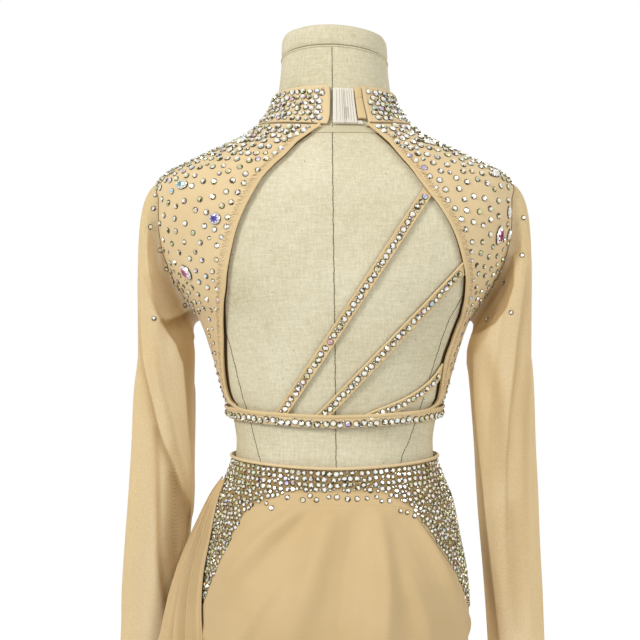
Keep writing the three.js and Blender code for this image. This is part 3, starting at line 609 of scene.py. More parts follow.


# Nylon spandex, crepe and elastic: fine knits with a low sheen, so they look matt, warm and slightly uneven.
# A cloth with glued stones is painted duller and browner where they crowd: for the glue, and as painted shade
# and foil reflection between them.
def knit_material(name, colour, shade, sheen=0.25, bump_strength=0.2, crowd_shade=None):
    material, tree = new_material(name)
    place = add_node(tree, "ShaderNodeTexCoord").outputs["Object"]
    stitches = 1000 / 1.4  # knit of 0.4 mm, drawn at 1.4 mm so that it shows
    knit = add_node(tree, "ShaderNodeTexNoise", Vector=place, Scale=stitches, Detail=2.0).outputs["Fac"]
    patches = 18.0  # to the metre, so each is about 55 mm across
    uneven = add_node(tree, "ShaderNodeTexNoise", Vector=place, Scale=patches, Detail=3.0).outputs["Fac"]
    share = add_node(tree, "ShaderNodeMath", {"operation": "MULTIPLY"}, i0=knit, i1=0.35)
    share = add_node(tree, "ShaderNodeMath", {"operation": "ADD"}, i0=share.outputs[0], i1=uneven)
    share = add_node(tree, "ShaderNodeMapRange", i0=share.outputs[0], i1=0.15, i2=1.2).outputs[0]
    tone = add_node(
        tree, "ShaderNodeMix", {"data_type": "RGBA"}, i0=share, i6=linear(colour), i7=linear(shade)
    ).outputs[2]
    # Where stones crowd, the tone is mixed towards a painted shade.
    if crowd_shade:
        crowd = add_node(tree, "ShaderNodeAttribute", {"attribute_name": "crowd"}).outputs["Fac"]
        tone = add_node(
            tree, "ShaderNodeMix", {"data_type": "RGBA"}, i0=crowd, i6=tone, i7=linear(crowd_shade)
        ).outputs[2]
    bump = add_node(tree, "ShaderNodeBump", Height=knit, Strength=bump_strength, Distance=0.0004)
    shader = add_node(
        tree,
        "ShaderNodeBsdfPrincipled",
        Base_Color=tone,
        Roughness=0.72,
        Specular_IOR_Level=0.25,
        Sheen_Weight=sheen,
        Sheen_Roughness=0.45,
        Normal=bump.outputs["Normal"],
    )
    add_node(tree, "ShaderNodeOutputMaterial", Surface=shader.outputs[0])
    return material


nude_spandex = knit_material("nude_nylon_spandex", NUDE, NUDE_SHADE)
stitch_thread_and_pucker_shade = knit_material("polyester_stitching_painted_shade", "#b29463", "#a08152")
hem_thread = knit_material("polyester_hem_stitching", "#dcc798", "#ccb280")
# Armhole seam colour: partly painted shade of the seam's groove.
armhole_seam_shade = knit_material("armhole_seam_painted_shade", ARMHOLE_SEAM_SHADE, "#7d613a", 0.1)
facing_shadow_paint = knit_material("painted_shadow_in_spandex_facing", FACING_PAINTED_SHADOW, "#46301a", 0.0)

YOKE_ROWS = 200
YOKE_COLUMNS = 52
NECK_GAP = 0.35
ARMHOLE_SHARES = (6.2 / 24, 18 / 24)
FACING_LIFT = 0.55
FACING_WALL = 0.4
random = np.random.default_rng(20)
yoke_grids = {}
for side, rows in (("left", LEFT_YOKE), ("right", RIGHT_YOKE)):
    plan = sampled(rows, "edge_height edge_turn side_height side_turn", YOKE_ROWS)
    edge_height, edge_turn, side_height, side_turn = (column[:, None] for column in plan)
    side_turn = side_turn - np.sign(side_turn) * SEAM_TURN
    shares = (np.linspace(0, 1, YOKE_COLUMNS) ** 1.5)[None, :]
    heights = edge_height + (side_height - edge_height) * shares
    heights[0] -= NECK_GAP
    turns = edge_turn + (side_turn - edge_turn) * shares
    flat = lifted(heights, turns, np.full(heights.shape, CLOTH_LIFT + CLOTH_WALL))
    from_edge, down = lengths_along(flat, 1), lengths_along(flat, 0)[:, :1]
    waves = sum(np.sin(2 * np.pi * down / wave + random.uniform(0, 6)) for wave in PUCKER["waves"]) / 3
    where = np.exp(-(((from_edge - PUCKER["from_edge"]) / PUCKER["width"]) ** 2))
    pucker = PUCKER["rise"] * (0.5 + 0.5 * waves) * where
    normals = body_normal(heights, turns)
    outer = flat + normals * pucker[..., None]
    inner = lifted(heights, turns, np.full(heights.shape, CLOTH_LIFT))
    yoke_grids[side] = {"height": heights, "turn": turns, "points": outer}
    yoke = wall_piece(f"spandex_yoke_{side}", outer, inner, nude_spandex, f"yoke_back_{side}", "nude_cloth")

    # Zigzag topstitching, one thread that crosses the turned edge of the elastic. It is drawn darker than the
    # cloth: the thread's own colour, plus painted shade of the puckers beside it.
    stitches = np.arange(4, down[-1, 0] - 16, ZIGZAG["step"])
    swing = ZIGZAG["from_edge"] + ZIGZAG["reach"] * (1 - 2 * (np.arange(len(stitches)) % 2))
    path = []
    for along, out in zip(stitches, swing):
        row = int(np.searchsorted(down[:, 0], along))
        column = int(np.searchsorted(from_edge[row], out))
        path.append(outer[row, column] + normals[row, column] * 0.12)
    mesh_piece(
        f"zigzag_stitching_{side}", *tube_along(path, ZIGZAG["thread"], 4), stitch_thread_and_pucker_shade, slot="nude_cloth"
    )
    # Armhole seam: a narrow darker line, coloured for the allowance caught inside and as painted shade of the
    # seam's groove.
    rim = slice(*(int(YOKE_ROWS * share) for share in ARMHOLE_SHARES))
    line = outer[rim, -1] + normals[rim, -1] * 0.1
    mesh_piece(f"armhole_seam_{side}", *tube_along(line, 0.55), armhole_seam_shade, slot="nude_cloth")
    # Facing: the turned edge's inner side stands off the form; its dark brown colour is painted shadow of the
    # gap between the edge and the form.
    edge, beyond = (
        lifted(heights[:, column], turns[:, column], np.full(YOKE_ROWS, FACING_LIFT)) for column in (0, 4)
    )
    inwards = unit(edge - beyond)
    width = curve_through(FACING, "height", "width")(heights[:, 0])[:, None]
    lanes = np.linspace(-2, 1, 7)
    facing = np.stack([edge + inwards * (lane if lane < 0 else lane * width) for lane in lanes], axis=1)
    under = facing - normals[:, :1] * FACING_WALL
    facing_piece = wall_piece(f"painted_shadow_facing_{side}", facing, under, facing_shadow_paint, None, "nude_cloth")

COLLAR_TOP = 1436


def collar_seam(turn):
    """The height of the seam between collar and bodice."""
    round_ = np.abs((np.asarray(turn) + 540) % 360 - 180)
    front = 1387 + 13.5 * np.sin(np.radians(round_)) ** 2
    return np.where(round_ < 90, 1390 + 10.5 * round_ / 90, front)


FRONT_ROWS = 80
FRONT_COLUMNS = 80
FRONT_SCOOP = 12.5
front_height, front_reach = sampled(RIGHT_YOKE, "side_height side_turn", FRONT_ROWS)
shares = np.linspace(1, -1, FRONT_COLUMNS)
turns = 180 - (front_reach - SEAM_TURN)[:, None] * np.sin(np.pi / 2 * shares)[None, :]
scoop = FRONT_SCOOP * ((front_height - 1100) / 300)[:, None] * np.cos(np.radians(turns)) ** 2
heights = front_height[:, None] - scoop
heights[0] = collar_seam(turns[0]) - NECK_GAP
outer = lifted(heights, turns, np.full(heights.shape, CLOTH_LIFT + CLOTH_WALL))
inner = lifted(heights, turns, np.full(heights.shape, CLOTH_LIFT))
front_grid = {"height": heights, "turn": turns, "points": outer}
front = wall_piece("spandex_bodice_front", outer, inner, nude_spandex, "bodice_front", "nude_cloth")

# ---------------------------------------------------------------------------------------------
# Bindings, straps and under-band: fold-over elastic along the open back, and straps of turned
# spandex that are caught under it at the top and under the band at the waist.
# ---------------------------------------------------------------------------------------------
ELASTIC = "#d9c294"
ELASTIC_SHADE = "#c9ae7e"
BINDING_WIDTH = 3.4
BINDING_WALL = 1.5
STRAP_WIDTH = 11.5
STRAP_WALL = 1.4
STRAP_EDGE = {"width": 1.9, "rise": 0.75}
BAND_WIDTH = 13
PIPING_WIDTH = 4
PIPING_WALL = 2.2
satin_elastic = knit_material("satin_fold_over_elastic", ELASTIC, ELASTIC_SHADE, 0.3)


def ribbon_grid(height, turn, width, wall, lift, closed=False, skew=(0, 0), crown=0.35, rolled=0):
    """Outer and inner points of a ribbon along a path on the body. Its middle is crowned, or its
    two edges are rolled."""
    points = lifted(height, turn, np.full(len(height), lift))
    if closed:
        along = unit(np.roll(points, -1, axis=0) - np.roll(points, 1, axis=0))
    else:
        along = unit(np.gradient(points, axis=0))
    out = body_normal(height, turn)
    side = unit(np.cross(out, along))
    slant = np.zeros(len(height)) if closed else np.linspace(skew[0], skew[1], len(height))
    lanes = np.linspace(-1, 1, 17 if rolled else 7)
    grids = []
    for level in (wall, 0):
        rows = []
        for lane in lanes:
            inset = (1 - abs(lane)) * width / 2
            roll = rolled * np.sin(np.pi * min(inset / STRAP_EDGE["width"], 1)) ** 0.7
            rise = level - crown * lane**4 + roll if level else 0
            aside = side * (lane * width / 2)
            rows.append(points + aside + along * (lane * slant)[:, None] + out * rise)
        grids.append(np.stack(rows))
    return grids


def ribbon_piece(name, height, turn, material, node, slot, **sizes):
    """A ribbon with two ends."""
    outer, inner = ribbon_grid(height, turn, **sizes)
    return wall_piece(name, outer, inner, material, node, slot)


trim = {"width": BINDING_WIDTH, "wall": BINDING_WALL, "lift": TRIM_LIFT}
for side, rows in (("left", LEFT_YOKE), ("right", RIGHT_YOKE)):
    edge_height, edge_turn = sampled(rows[:-1], "edge_height edge_turn", 160)
    binding = ribbon_piece(
        f"elastic_binding_{side}", edge_height, edge_turn, satin_elastic, f"binding_{side}", "elastic", **trim
    )

STRAPS = {
    "strap_upper": {"skew": (1.6, -3.9), "stations": [(1319.5, 44.5), (1092, -37.2)]},
    "strap_middle": {"skew": (3.9, -5.9), "stations": [(1243, 57.5), (1090, -10.4)]},
    "strap_lower": {
        "skew": (6, -8),
        "stations": [(1137, 65.6), (1127, 62), (1116, 55.5), (1104, 44), (1095, 31), (1088, 21)],
    },
}


def turn_at(height, x):
    """The turn at which the body's back reaches x at that height."""
    low, high = np.full(np.shape(height), -89.0), np.full(np.shape(height), 89.0)
    for _ in range(30):
        middle = (low + high) / 2
        short = on_body(height, middle)[..., 0] < x
        low, high = np.where(short, middle, low), np.where(short, high, middle)
    return (low + high) / 2


strap_paths = {}
for name, strap in STRAPS.items():
    stations = [
        {"order": i, "height": height, "x": on_body(height, turn)[0]}
        for i, (height, turn) in enumerate(strap["stations"])
    ]
    at = np.linspace(0, len(stations) - 1, 90)
    height = curve_through(stations, "order", "height")(at)
    turn = turn_at(height, curve_through(stations, "order", "x")(at))
    strap_paths[name] = (height, turn)
    piece = ribbon_piece(
        f"spandex_{name}", height, turn, satin_elastic, name, "nude_cloth",
        width=STRAP_WIDTH, wall=STRAP_WALL, lift=CLOTH_LIFT, skew=strap["skew"], rolled=STRAP_EDGE["rise"],
    )

ring_turns = np.linspace(0, 360, 241)


def ring_path(height, rise):
    return height + rise * np.sin(np.radians(ring_turns)) ** 2, ring_turns


def ring_piece(name, path, material, node, slot, **sizes):
    """A ribbon right round the body."""
    outer, inner = ribbon_grid(path[0][:-1], path[1][:-1], closed=True, **sizes)
    return wall_piece(name, outer, inner, material, node, slot, closed=True)


BAND = {"height": 1086.5, "rise": 5.5}
band = ring_piece(
    "spandex_under_band", ring_path(**BAND), nude_spandex, "under_band", "nude_cloth",
    width=BAND_WIDTH, wall=STRAP_WALL, lift=TRIM_LIFT,
)

# The band's top edge is bound too, and the binding rounds the corners of the open back.
band_top = ring_path(BAND["height"] + BAND_WIDTH / 2 - 1.2, BAND["rise"])
band_edge = ring_piece(
    "elastic_band_edge", band_top, satin_elastic, None, "elastic",
    width=BINDING_WIDTH + 0.4, wall=1.0, lift=TRIM_LIFT + STRAP_WALL - 0.35, crown=0.7,
)
CORNERS = {
    "left": [
        (1118, -72.6), (1110, -71.8), (1103.5, -69.6), (1099, -65.5), (1096.4, -60), (1094.6, -53),
        (1093.2, -45),
    ],
    "right": [
        (1118, 69.1), (1110, 69.4), (1103.5, 67.8), (1099, 64.2), (1096.4, 59), (1094.6, 52), (1093.2, 44),
    ],
}
for side, stations in CORNERS.items():
    height, turn = sampled(table("height turn", stations), "height turn", 60)
    corner = ribbon_piece(
        f"elastic_corner_{side}", height, turn, satin_elastic, None, "elastic",
        width=BINDING_WIDTH, wall=1.2, lift=TRIM_LIFT + 1.1, crown=0.7,
    )

# ---------------------------------------------------------------------------------------------
# Stand collar: doubled spandex round the neck, open at the centre back, with a tab for the hook.
# Under it the form's neck tape shows below the clasp.
# ---------------------------------------------------------------------------------------------
COLLAR_WALL = 1.9
COLLAR_ENDS = {"right": 26.2, "left": 355.2}
COLLAR_ROWS = 32
COLLAR_COLUMNS = 160
COLLAR_ROUNDING = 2.2
TAB = {"bottom": 1398, "top": 1434, "left": 18.4, "right": 25.2}

levels = np.linspace(0, 1, COLLAR_ROWS)[:, None]
rounding = COLLAR_ROUNDING * (2 * levels - 1) ** 4
shares = 0.5 + 0.5 * np.sin(np.linspace(-np.pi / 2, np.pi / 2, COLLAR_COLUMNS))[None, :]
turns = COLLAR_ENDS["right"] + (COLLAR_ENDS["left"] - rounding - COLLAR_ENDS["right"]) * shares
bottom = collar_seam(turns) + 0.65
heights = bottom + (COLLAR_TOP - bottom) * levels
collar_inner = lifted(heights, turns, np.full(heights.shape, CLOTH_LIFT))
collar_outer = lifted(heights, turns, np.full(heights.shape, CLOTH_LIFT + COLLAR_WALL))
end_way = np.minimum(lengths_along(collar_outer, 1), lengths_along(collar_outer[:, ::-1], 1)[:, ::-1])
top_way = (1 - levels) * (COLLAR_TOP - bottom)
turned_edge = 0.55 * (np.exp(-(((end_way - 3) / 1.8) ** 2)) + np.exp(-(((top_way - 1.5) / 1.2) ** 2)))
collar_outer = lifted(heights, turns, CLOTH_LIFT + COLLAR_WALL + turned_edge)
collar = wall_piece("spandex_stand_collar", collar_outer, collar_inner, nude_spandex, "collar", "nude_cloth")

tab_rows, tab_columns = np.linspace(0, 1, 60)[:, None], np.linspace(0, 1, 24)[None, :]
heights = TAB["bottom"] + (TAB["top"] - TAB["bottom"]) * tab_rows + 0 * tab_columns
turns = TAB["left"] + (TAB["right"] - TAB["left"]) * tab_columns + 0 * tab_rows
fold = 0.9 * np.exp(-(((tab_rows - 0.62 - 0.05 * tab_columns) / 0.035) ** 2))
swell = 0.55 * np.sin(np.pi * tab_columns) ** 0.5
outer = lifted(heights, turns, CLOTH_LIFT + COLLAR_WALL + swell - fold)
inner = lifted(heights, turns, np.full(heights.shape, CLOTH_LIFT))
tab = wall_piece("elastic_collar_tab", outer, inner, satin_elastic, "collar_tab", "elastic")

NECK_TAPE = {"height": 1386.5, "width": 7, "wall": 1.1, "lift": 0.05, "crown": 0.3}
twill_tape = knit_material("cotton_twill_tape", "#c9c0a2", "#b7ad8c", 0.1, 0.5)
tape_path = (np.full(len(ring_turns), NECK_TAPE["height"]), ring_turns)
neck_tape = ring_piece(
    "linen_neck_tape", tape_path, twill_tape, None, "linen",
    width=NECK_TAPE["width"], wall=NECK_TAPE["wall"], lift=NECK_TAPE["lift"], crown=NECK_TAPE["crown"],
)

# ---------------------------------------------------------------------------------------------
# Back clasp: two interlocked halves of clear moulded plastic with upright ribs, a slot for the
# hook's tongue, and a short foot on the hook half.
# ---------------------------------------------------------------------------------------------
CLASP = {"bottom": 1392, "top": 1432, "left": -2.2, "middle": 7.4, "right": 16.8, "wall": 3.2}
CLASP_GROOVES = {"turns": (1.2, 4.0, 6.2, 8.7, 10.9, 13.0, 15.0), "width": 0.34, "depth": 1.0}
CLASP_SLOT = {"bottom": 1397.5, "top": 1409.5, "left": 8.4, "right": 11.2, "depth": 1.7}
CLASP_FOOT = {"height": 1393.7, "half_height": 1.9, "turn": 19.3, "half_turn": 2.4, "wall": 1.9}


# Clear polycarbonate, moulded: glossy, almost water clear, with bright edges on its ribs.
def clear_plastic_material():
    material, tree = new_material("clear_moulded_polycarbonate")
    shader = add_node(
        tree,
        "ShaderNodeBsdfPrincipled",
        Base_Color=linear("#f0ebdf"),
        Roughness=0.16,
        IOR=1.58,
        Coat_Weight=0.4,
    )
    clear = add_node(tree, "ShaderNodeBsdfTransparent", Color=linear("#f6f1e4"))
    mix = add_node(tree, "ShaderNodeMixShader", i0=0.72, i1=clear.outputs[0], i2=shader.outputs[0])
    add_node(tree, "ShaderNodeOutputMaterial", Surface=mix.outputs[0])
    return material


clear_plastic = clear_plastic_material()
for name, left, right in (
    ("clasp_loop", CLASP["left"], CLASP["middle"] - 0.2),
    ("clasp_hook", CLASP["middle"] + 0.2, CLASP["right"]),
):
    rows, columns = np.linspace(0, 1, 41)[:, None], np.linspace(0, 1, 81)[None, :]
    heights = CLASP["bottom"] + (CLASP["top"] - CLASP["bottom"]) * rows + 0 * columns
    turns = left + (right - left) * columns + 0 * rows
    grooves = sum(
        np.exp(-(((turns - turn) / CLASP_GROOVES["width"]) ** 2)) for turn in CLASP_GROOVES["turns"]
    )
    ends = np.clip(np.minimum(rows, 1 - rows) * 16, 0, 1) ** 0.5
    in_slot = (turns > CLASP_SLOT["left"]) & (turns < CLASP_SLOT["right"])
    in_slot &= (heights > CLASP_SLOT["bottom"]) & (heights < CLASP_SLOT["top"])
    lift = CLOTH_LIFT + CLASP["wall"] - 0.5 * (1 - ends) - CLASP_GROOVES["depth"] * grooves * ends
    lift -= CLASP_SLOT["depth"] * in_slot
    outer = lifted(heights, turns, lift)
    inner = lifted(heights, turns, np.full(heights.shape, CLOTH_LIFT))
    wall_piece(f"plastic_{name}", outer, inner, clear_plastic, name, "clear_plastic", crease=25)

rows, columns = np.linspace(-1, 1, 13)[:, None], np.linspace(-1, 1, 21)[None, :]
heights = CLASP_FOOT["height"] + CLASP_FOOT["half_height"] * rows + 0 * columns
turns = CLASP_FOOT["turn"] + CLASP_FOOT["half_turn"] * columns + 0 * rows
lift = CLOTH_LIFT + CLASP_FOOT["wall"] * np.clip((1 - rows**4) * (1 - columns**6), 0.05, 1) ** 0.5
outer = lifted(heights, turns, lift)
inner = lifted(heights, turns, np.full(heights.shape, CLOTH_LIFT))
wall_piece("plastic_clasp_foot", outer, inner, clear_plastic, None, "clear_plastic")

# ---------------------------------------------------------------------------------------------
# Skirt: piping at the waist, a hip yoke that dips to a point at each side, and two panels of
# soft crepe that lie on the hips and then hang in widening folds, slit at the right.
# ---------------------------------------------------------------------------------------------
CREPE = "#ccb287"
CREPE_SHADE = "#bea373"
# Painted shade of the cloth between crowded stones.
SHADE_AMONG_STONES = "#957a4c"
WAIST = {"height": 1036.5, "rise": 5.5}
HEM_HEIGHT = 285
HANG_HEIGHT = 850
SKIRT_TOP = 1000
SKIRT_FLARE = 0.13
FLARE_EASE = 60
SLIT_TURN = 4
SLIT_START = 0.7
crepe = knit_material("soft_crepe", CREPE, CREPE_SHADE, 0.2)
# Spandex among glued stones: painted duller and browner where they crowd, as shade for the little light that
# gets down between them.
spandex_shaded_among_stones = knit_material("glued_nylon_spandex_painted_shade", CREPE, CREPE_SHADE, 0.2, crowd_shade=SHADE_AMONG_STONES)

piping = ring_piece(
    "elastic_waist_piping", ring_path(**WAIST), nude_spandex, "waist_piping", "elastic",
    width=PIPING_WIDTH - 0.8, wall=PIPING_WALL, lift=TRIM_LIFT + 0.3, crown=1.6,
)

HIP_EDGE = table("turn height", [
    (-90, 872),
    (-80, 877),
    (-74, 886),
    (-69, 900),
    (-65, 918),
    (-61.5, 938),
    (-58.5, 957),
    (-55.8, 974),
    (-52.5, 989),
    (-47, 997),
    (-36, 1000),
    (-16, 1001),
    (0, 1001),
    (14, 1001),
    (27, 1000),
    (38, 998),
    (45, 993),
    (49, 980),
    (53, 966),
    (57.5, 949),
    (63, 928),
    (68.5, 906),
    (78, 883),
    (90, 872),
])
hip_edge = curve_through(HIP_EDGE, "turn", "height")
CROWDING = {"middle_ends": 0.7, "middle_eases": 5, "thin_below": 10, "thickens_over": 7}
HIP_GRID = {"rows": 34, "columns": 140, "from_edge": 0.8}


def waist_line(turn):
    return WAIST["height"] + WAIST["rise"] * np.sin(np.radians(turn)) ** 2


def stone_crowding(height, turn, facing):
    """How far above the hip yoke's edge a place is, and how closely the stones crowd there: all
    over the sides, and thinning out above the middle of the edge."""
    past = height - hip_edge(turn if facing == 0 else 180 - turn)
    aside = np.abs(np.sin(np.radians(turn)))
    middle = np.clip((CROWDING["middle_ends"] - aside) * CROWDING["middle_eases"], 0, 1)
    return past, np.clip((past - CROWDING["thin_below"] * middle) / CROWDING["thickens_over"], 0, 1)


for name, facing in (("back", 0), ("front", 180)):
    turns = facing + np.linspace(-90 + SEAM_TURN, 90 - SEAM_TURN, HIP_GRID["columns"])[None, :]
    edge = hip_edge(turns if facing == 0 else 180 - turns) - HIP_GRID["from_edge"]
    heights = edge + (waist_line(turns) - edge) * np.linspace(1, 0, HIP_GRID["rows"])[:, None]
    turns = turns + 0 * heights
    outer = lifted(heights, turns, np.full(heights.shape, CLOTH_LIFT + CLOTH_WALL))
    inner = lifted(heights, turns, np.full(heights.shape, CLOTH_LIFT))
    hip_yoke = wall_piece(
        f"spandex_hip_yoke_{name}", outer, inner, spandex_shaded_among_stones, f"hip_yoke_{name}", "nude_cloth"
    )
    # The crowding of the stones also sets how much painted shade the cloth takes between them.
    crowd = stone_crowding(heights, turns, facing)[1].ravel()
    attribute = hip_yoke.data.attributes.new("crowd", "FLOAT", "POINT")
    attribute.data.foreach_set("value", np.concatenate([crowd, crowd]))

SKIRT_FOLDS = table("turn lean width rise", [
    (-80, -6, 7, 16),
    (-61, -14, 8, 20),
    (-42, -18, 7, 26),
    (-23, -16, 8, 19),
    (-3, -10, 8, 25),
    (17, 8, 8, 20),
    (36, 14, 7, 26),
    (55, 16, 8, 18),
    (74, 8, 7, 22),
    (104, 4, 8, 20),
    (123, 8, 7, 24),
    (143, 6, 8, 18),
    (162, 4, 8, 25),
    (182, 0, 8, 19),
    (202, -4, 7, 26),
    (221, -6, 8, 18),
    (240, -8, 7, 24),
    (259, -4, 7, 14),
])

# Soft drag lines where the crepe is eased into the hip yoke: each is a line down the cloth, its
# half width, and how far it stands out, or dips where that is below nothing.
DRAG_LINES = {
    "back": [
        {"line": [(-20, 1001), (-28, 986), (-38, 968), (-50, 935), (-60, 895)], "width": 10, "rise": 7.5},
        {"line": [(-14, 1003), (-20, 985), (-29, 960), (-40, 925), (-50, 880)], "width": 9, "rise": -3.0},
        {"line": [(-46, 985), (-56, 950), (-63, 915)], "width": 8, "rise": 3.2},
        {"line": [(-1, 1002), (-6, 975), (-11, 940), (-18, 890), (-24, 840)], "width": 16, "rise": 11.0},
        {"line": [(-26, 935), (-36, 900), (-46, 860), (-54, 835)], "width": 8, "rise": 3.6},
        {"line": [(13, 1002), (10, 965), (7, 935), (4, 880), (0, 820)], "width": 9, "rise": -3.6},
        {"line": [(25, 1001), (24, 960), (23, 915), (20, 850), (17, 800)], "width": 12, "rise": 10.5},
        {"line": [(36, 999), (41, 975), (46, 950), (50, 915), (56, 880)], "width": 8, "rise": -3.6},
        {"line": [(48, 978), (54, 942), (60, 905), (66, 870)], "width": 6.5, "rise": 4.6},
        {"line": [(33, 945), (39, 900), (45, 855), (50, 815)], "width": 9, "rise": 4.2},
        {"line": [(86, 868), (74, 862), (60, 852)], "width": 6, "rise": 3.4},
        {"line": [(-86, 866), (-72, 858), (-58, 846)], "width": 6, "rise": 3.0},
    ],
    "front": [
        {"line": [(152, 998), (146, 972), (138, 935), (128, 890)], "width": 13, "rise": 3.6},
        {"line": [(166, 1000), (163, 965), (158, 920), (150, 870)], "width": 12, "rise": -2.8},
        {"line": [(181, 999), (180, 960), (181, 905), (184, 850)], "width": 15, "rise": 4.2},
        {"line": [(199, 1000), (204, 970), (208, 930), (210, 880)], "width": 12, "rise": -2.6},
        {"line": [(214, 997), (222, 968), (230, 930), (238, 885)], "width": 11, "rise": 3.0},
    ],
}


def wrapped(angle):
    return (angle + 540) % 360 - 180


def beside(line, across, up):
    """Signed distance from a line of points, and the share of the way along it. Going down the
    line, the distance grows towards larger values of across."""
    nearest = np.full(across.shape, np.inf)
    signed, share = np.zeros(across.shape), np.zeros(across.shape)
    for k, ((x0, z0), (x1, z1)) in enumerate(zip(line[:-1], line[1:])):
        dx, dz = x1 - x0, z1 - z0
        t = np.clip(((across - x0) * dx + (up - z0) * dz) / (dx * dx + dz * dz), 0, 1)
        ex, ez = across - (x0 + t * dx), up - (z0 + t * dz)
        away = np.hypot(ex, ez)
        closer = away < nearest
        nearest = np.where(closer, away, nearest)
        signed = np.where(closer, np.sign(dx * ez - dz * ex) * away, signed)
        share = np.where(closer, (k + t) / (len(line) - 1), share)
    return signed, share


def fold_rise(height, turn):
    fall = np.clip(SKIRT_TOP - 20 - height, 0, None) / (SKIRT_TOP - HEM_HEIGHT)
    rise = np.zeros(np.broadcast(height, turn).shape)
    for fold in SKIRT_FOLDS:
        centre = fold["turn"] - fold["lean"] * (1 - fall)
        rise += fold["rise"] * fall**1.4 * np.exp(-((wrapped(turn - centre) / fold["width"]) ** 2))
    return rise


def skirt_point(height, turn, lift):
    """Points on the skirt: lying on the hips, and hanging clear below them."""
    height, turn = np.broadcast_arrays(np.asarray(height, float), np.asarray(turn, float))
    rise = lift + fold_rise(height, turn)
    lying = lifted(height, turn, rise)
    drop = np.clip(HANG_HEIGHT - height, 0, None)
    hang_heights = np.full(height.shape, HANG_HEIGHT)
    out = body_normal(hang_heights, turn)
    out[..., 2] = 0
    reach = rise + SKIRT_FLARE * drop**2 / (drop + FLARE_EASE)
    hanging = lifted(hang_heights, turn, np.zeros(height.shape)) + unit(out) * reach[..., None]
    hanging[..., 2] = height
    return np.where((height >= HANG_HEIGHT)[..., None], lying, hanging)


MM_PER_DEGREE = 2.1  # round the hips
DEEPEST_DIP = 1.8
SKIRT_GRIDS = {"back": (130, 190), "front": (90, 140)}
for name, facing in (("back", 0), ("front", 180)):
    skirt_rows, skirt_columns = SKIRT_GRIDS[name]
    turns = np.linspace(-90 + SEAM_TURN, 90 - SEAM_TURN, skirt_columns)[None, :]
    fall = (np.linspace(0, 1, skirt_rows) ** 1.35)[:, None]
    top = hip_edge(turns if facing == 0 else -turns) - 0.85
    heights = top + (HEM_HEIGHT - top) * fall
    slit_side = 1 if facing == 0 else -1
    drawn_in = np.where(turns * slit_side > 0, 1 - (SLIT_START + SLIT_TURN * fall) / 90, 1)
    turned = facing + turns * drawn_in
    drag = np.zeros(heights.shape)
    for soft in DRAG_LINES[name]:
        line = [(turn * MM_PER_DEGREE, height) for turn, height in soft["line"]]
        away, along = beside(line, turned * MM_PER_DEGREE, heights)
        window = np.sin(np.pi * np.clip(along, 0.02, 0.98)) ** 0.6
        drag += soft["rise"] * window * np.exp(-((away / soft["width"]) ** 2))
    drag *= np.clip((top - heights) / 9, 0, 1)
    drag = np.where(drag < 0, DEEPEST_DIP * np.tanh(drag / DEEPEST_DIP), drag)
    outer = skirt_point(heights, turned, CLOTH_LIFT + CLOTH_WALL + drag)
    normal = grid_normal(outer, outer.mean(axis=1, keepdims=True))
    wall = np.clip(CLOTH_WALL + drag * 0.5, 0.4, CLOTH_WALL)[..., None]
    skirt = wall_piece(
        f"crepe_skirt_{name}", outer, outer - normal * wall, crepe, f"skirt_{name}", "skirt_cloth"
    )
    hem = outer[-3] + normal[-3] * 0.1
    mesh_piece(f"hem_stitching_{name}", *tube_along(hem, 0.35, 4), hem_thread, slot="skirt_cloth")

# Side drape: a cascade of the same crepe, gathered to a point at the left hip.
DRAPE_TOP = 1014
DRAPE_FULL = 838
DRAPE_HEM = 330
DRAPE_GATHER = {"turn": -87, "spread": 14, "lift": 8, "edge_lift": 5.4}
DRAPE = table("turn lift", [
    (-69, 6),
    (-71, 19),
    (-73, 12),
    (-76, 30),
    (-79, 20),
    (-82, 49),
    (-87, 22),
    (-95, 11),
    (-106, 9),
])
DRAPE_ROWS = 90
DRAPE_COLUMNS = 160
along = np.linspace(0, len(DRAPE) - 1, DRAPE_COLUMNS)[None, :]
heights = (DRAPE_TOP + (DRAPE_HEM - DRAPE_TOP) * np.linspace(0, 1, DRAPE_ROWS) ** 1.3)[:, None]
spread = (DRAPE_TOP - heights) / (DRAPE_TOP - DRAPE_FULL)
opened = np.minimum(spread, 1) + 0.05 * np.clip(spread - 1, 0, None)
first = np.clip(np.floor(along).astype(int), 0, len(DRAPE) - 2)
share = along - first
ease = share * share * (3 - 2 * share)
plan_turn, plan_lift = (np.array([row[column] for row in DRAPE], float) for column in ("turn", "lift"))
drape_turn = plan_turn[first] + (plan_turn[first + 1] - plan_turn[first]) * share
drape_lift = plan_lift[first] + (plan_lift[first + 1] - plan_lift[first]) * ease
gathered = DRAPE_GATHER["turn"] + DRAPE_GATHER["spread"] * (0.5 - along / (len(DRAPE) - 1))
from_edge = np.clip(along / 2, 0, 1)
held = DRAPE_GATHER["edge_lift"] + (DRAPE_GATHER["lift"] - DRAPE_GATHER["edge_lift"]) * from_edge
small_folds = 3.8 * np.sin(along * 7.4 + 0.8 * np.sin(along * 1.9)) * np.clip(spread * 3, 0, 1)
small_folds = small_folds * np.clip(1.3 - 0.35 * spread, 0.3, 1)
outer = skirt_point(
    heights + 0 * along,
    gathered + (drape_turn - gathered) * opened,
    held + np.clip(drape_lift - 5, 0, None) * opened + small_folds * np.clip(along, 0, 1),
)
normal = grid_normal(outer, outer - body_normal(900.0, drape_turn + 0 * heights))
drape = wall_piece("crepe_side_drape", outer, outer - normal * CLOTH_WALL, crepe, "side_drape", "skirt_cloth")

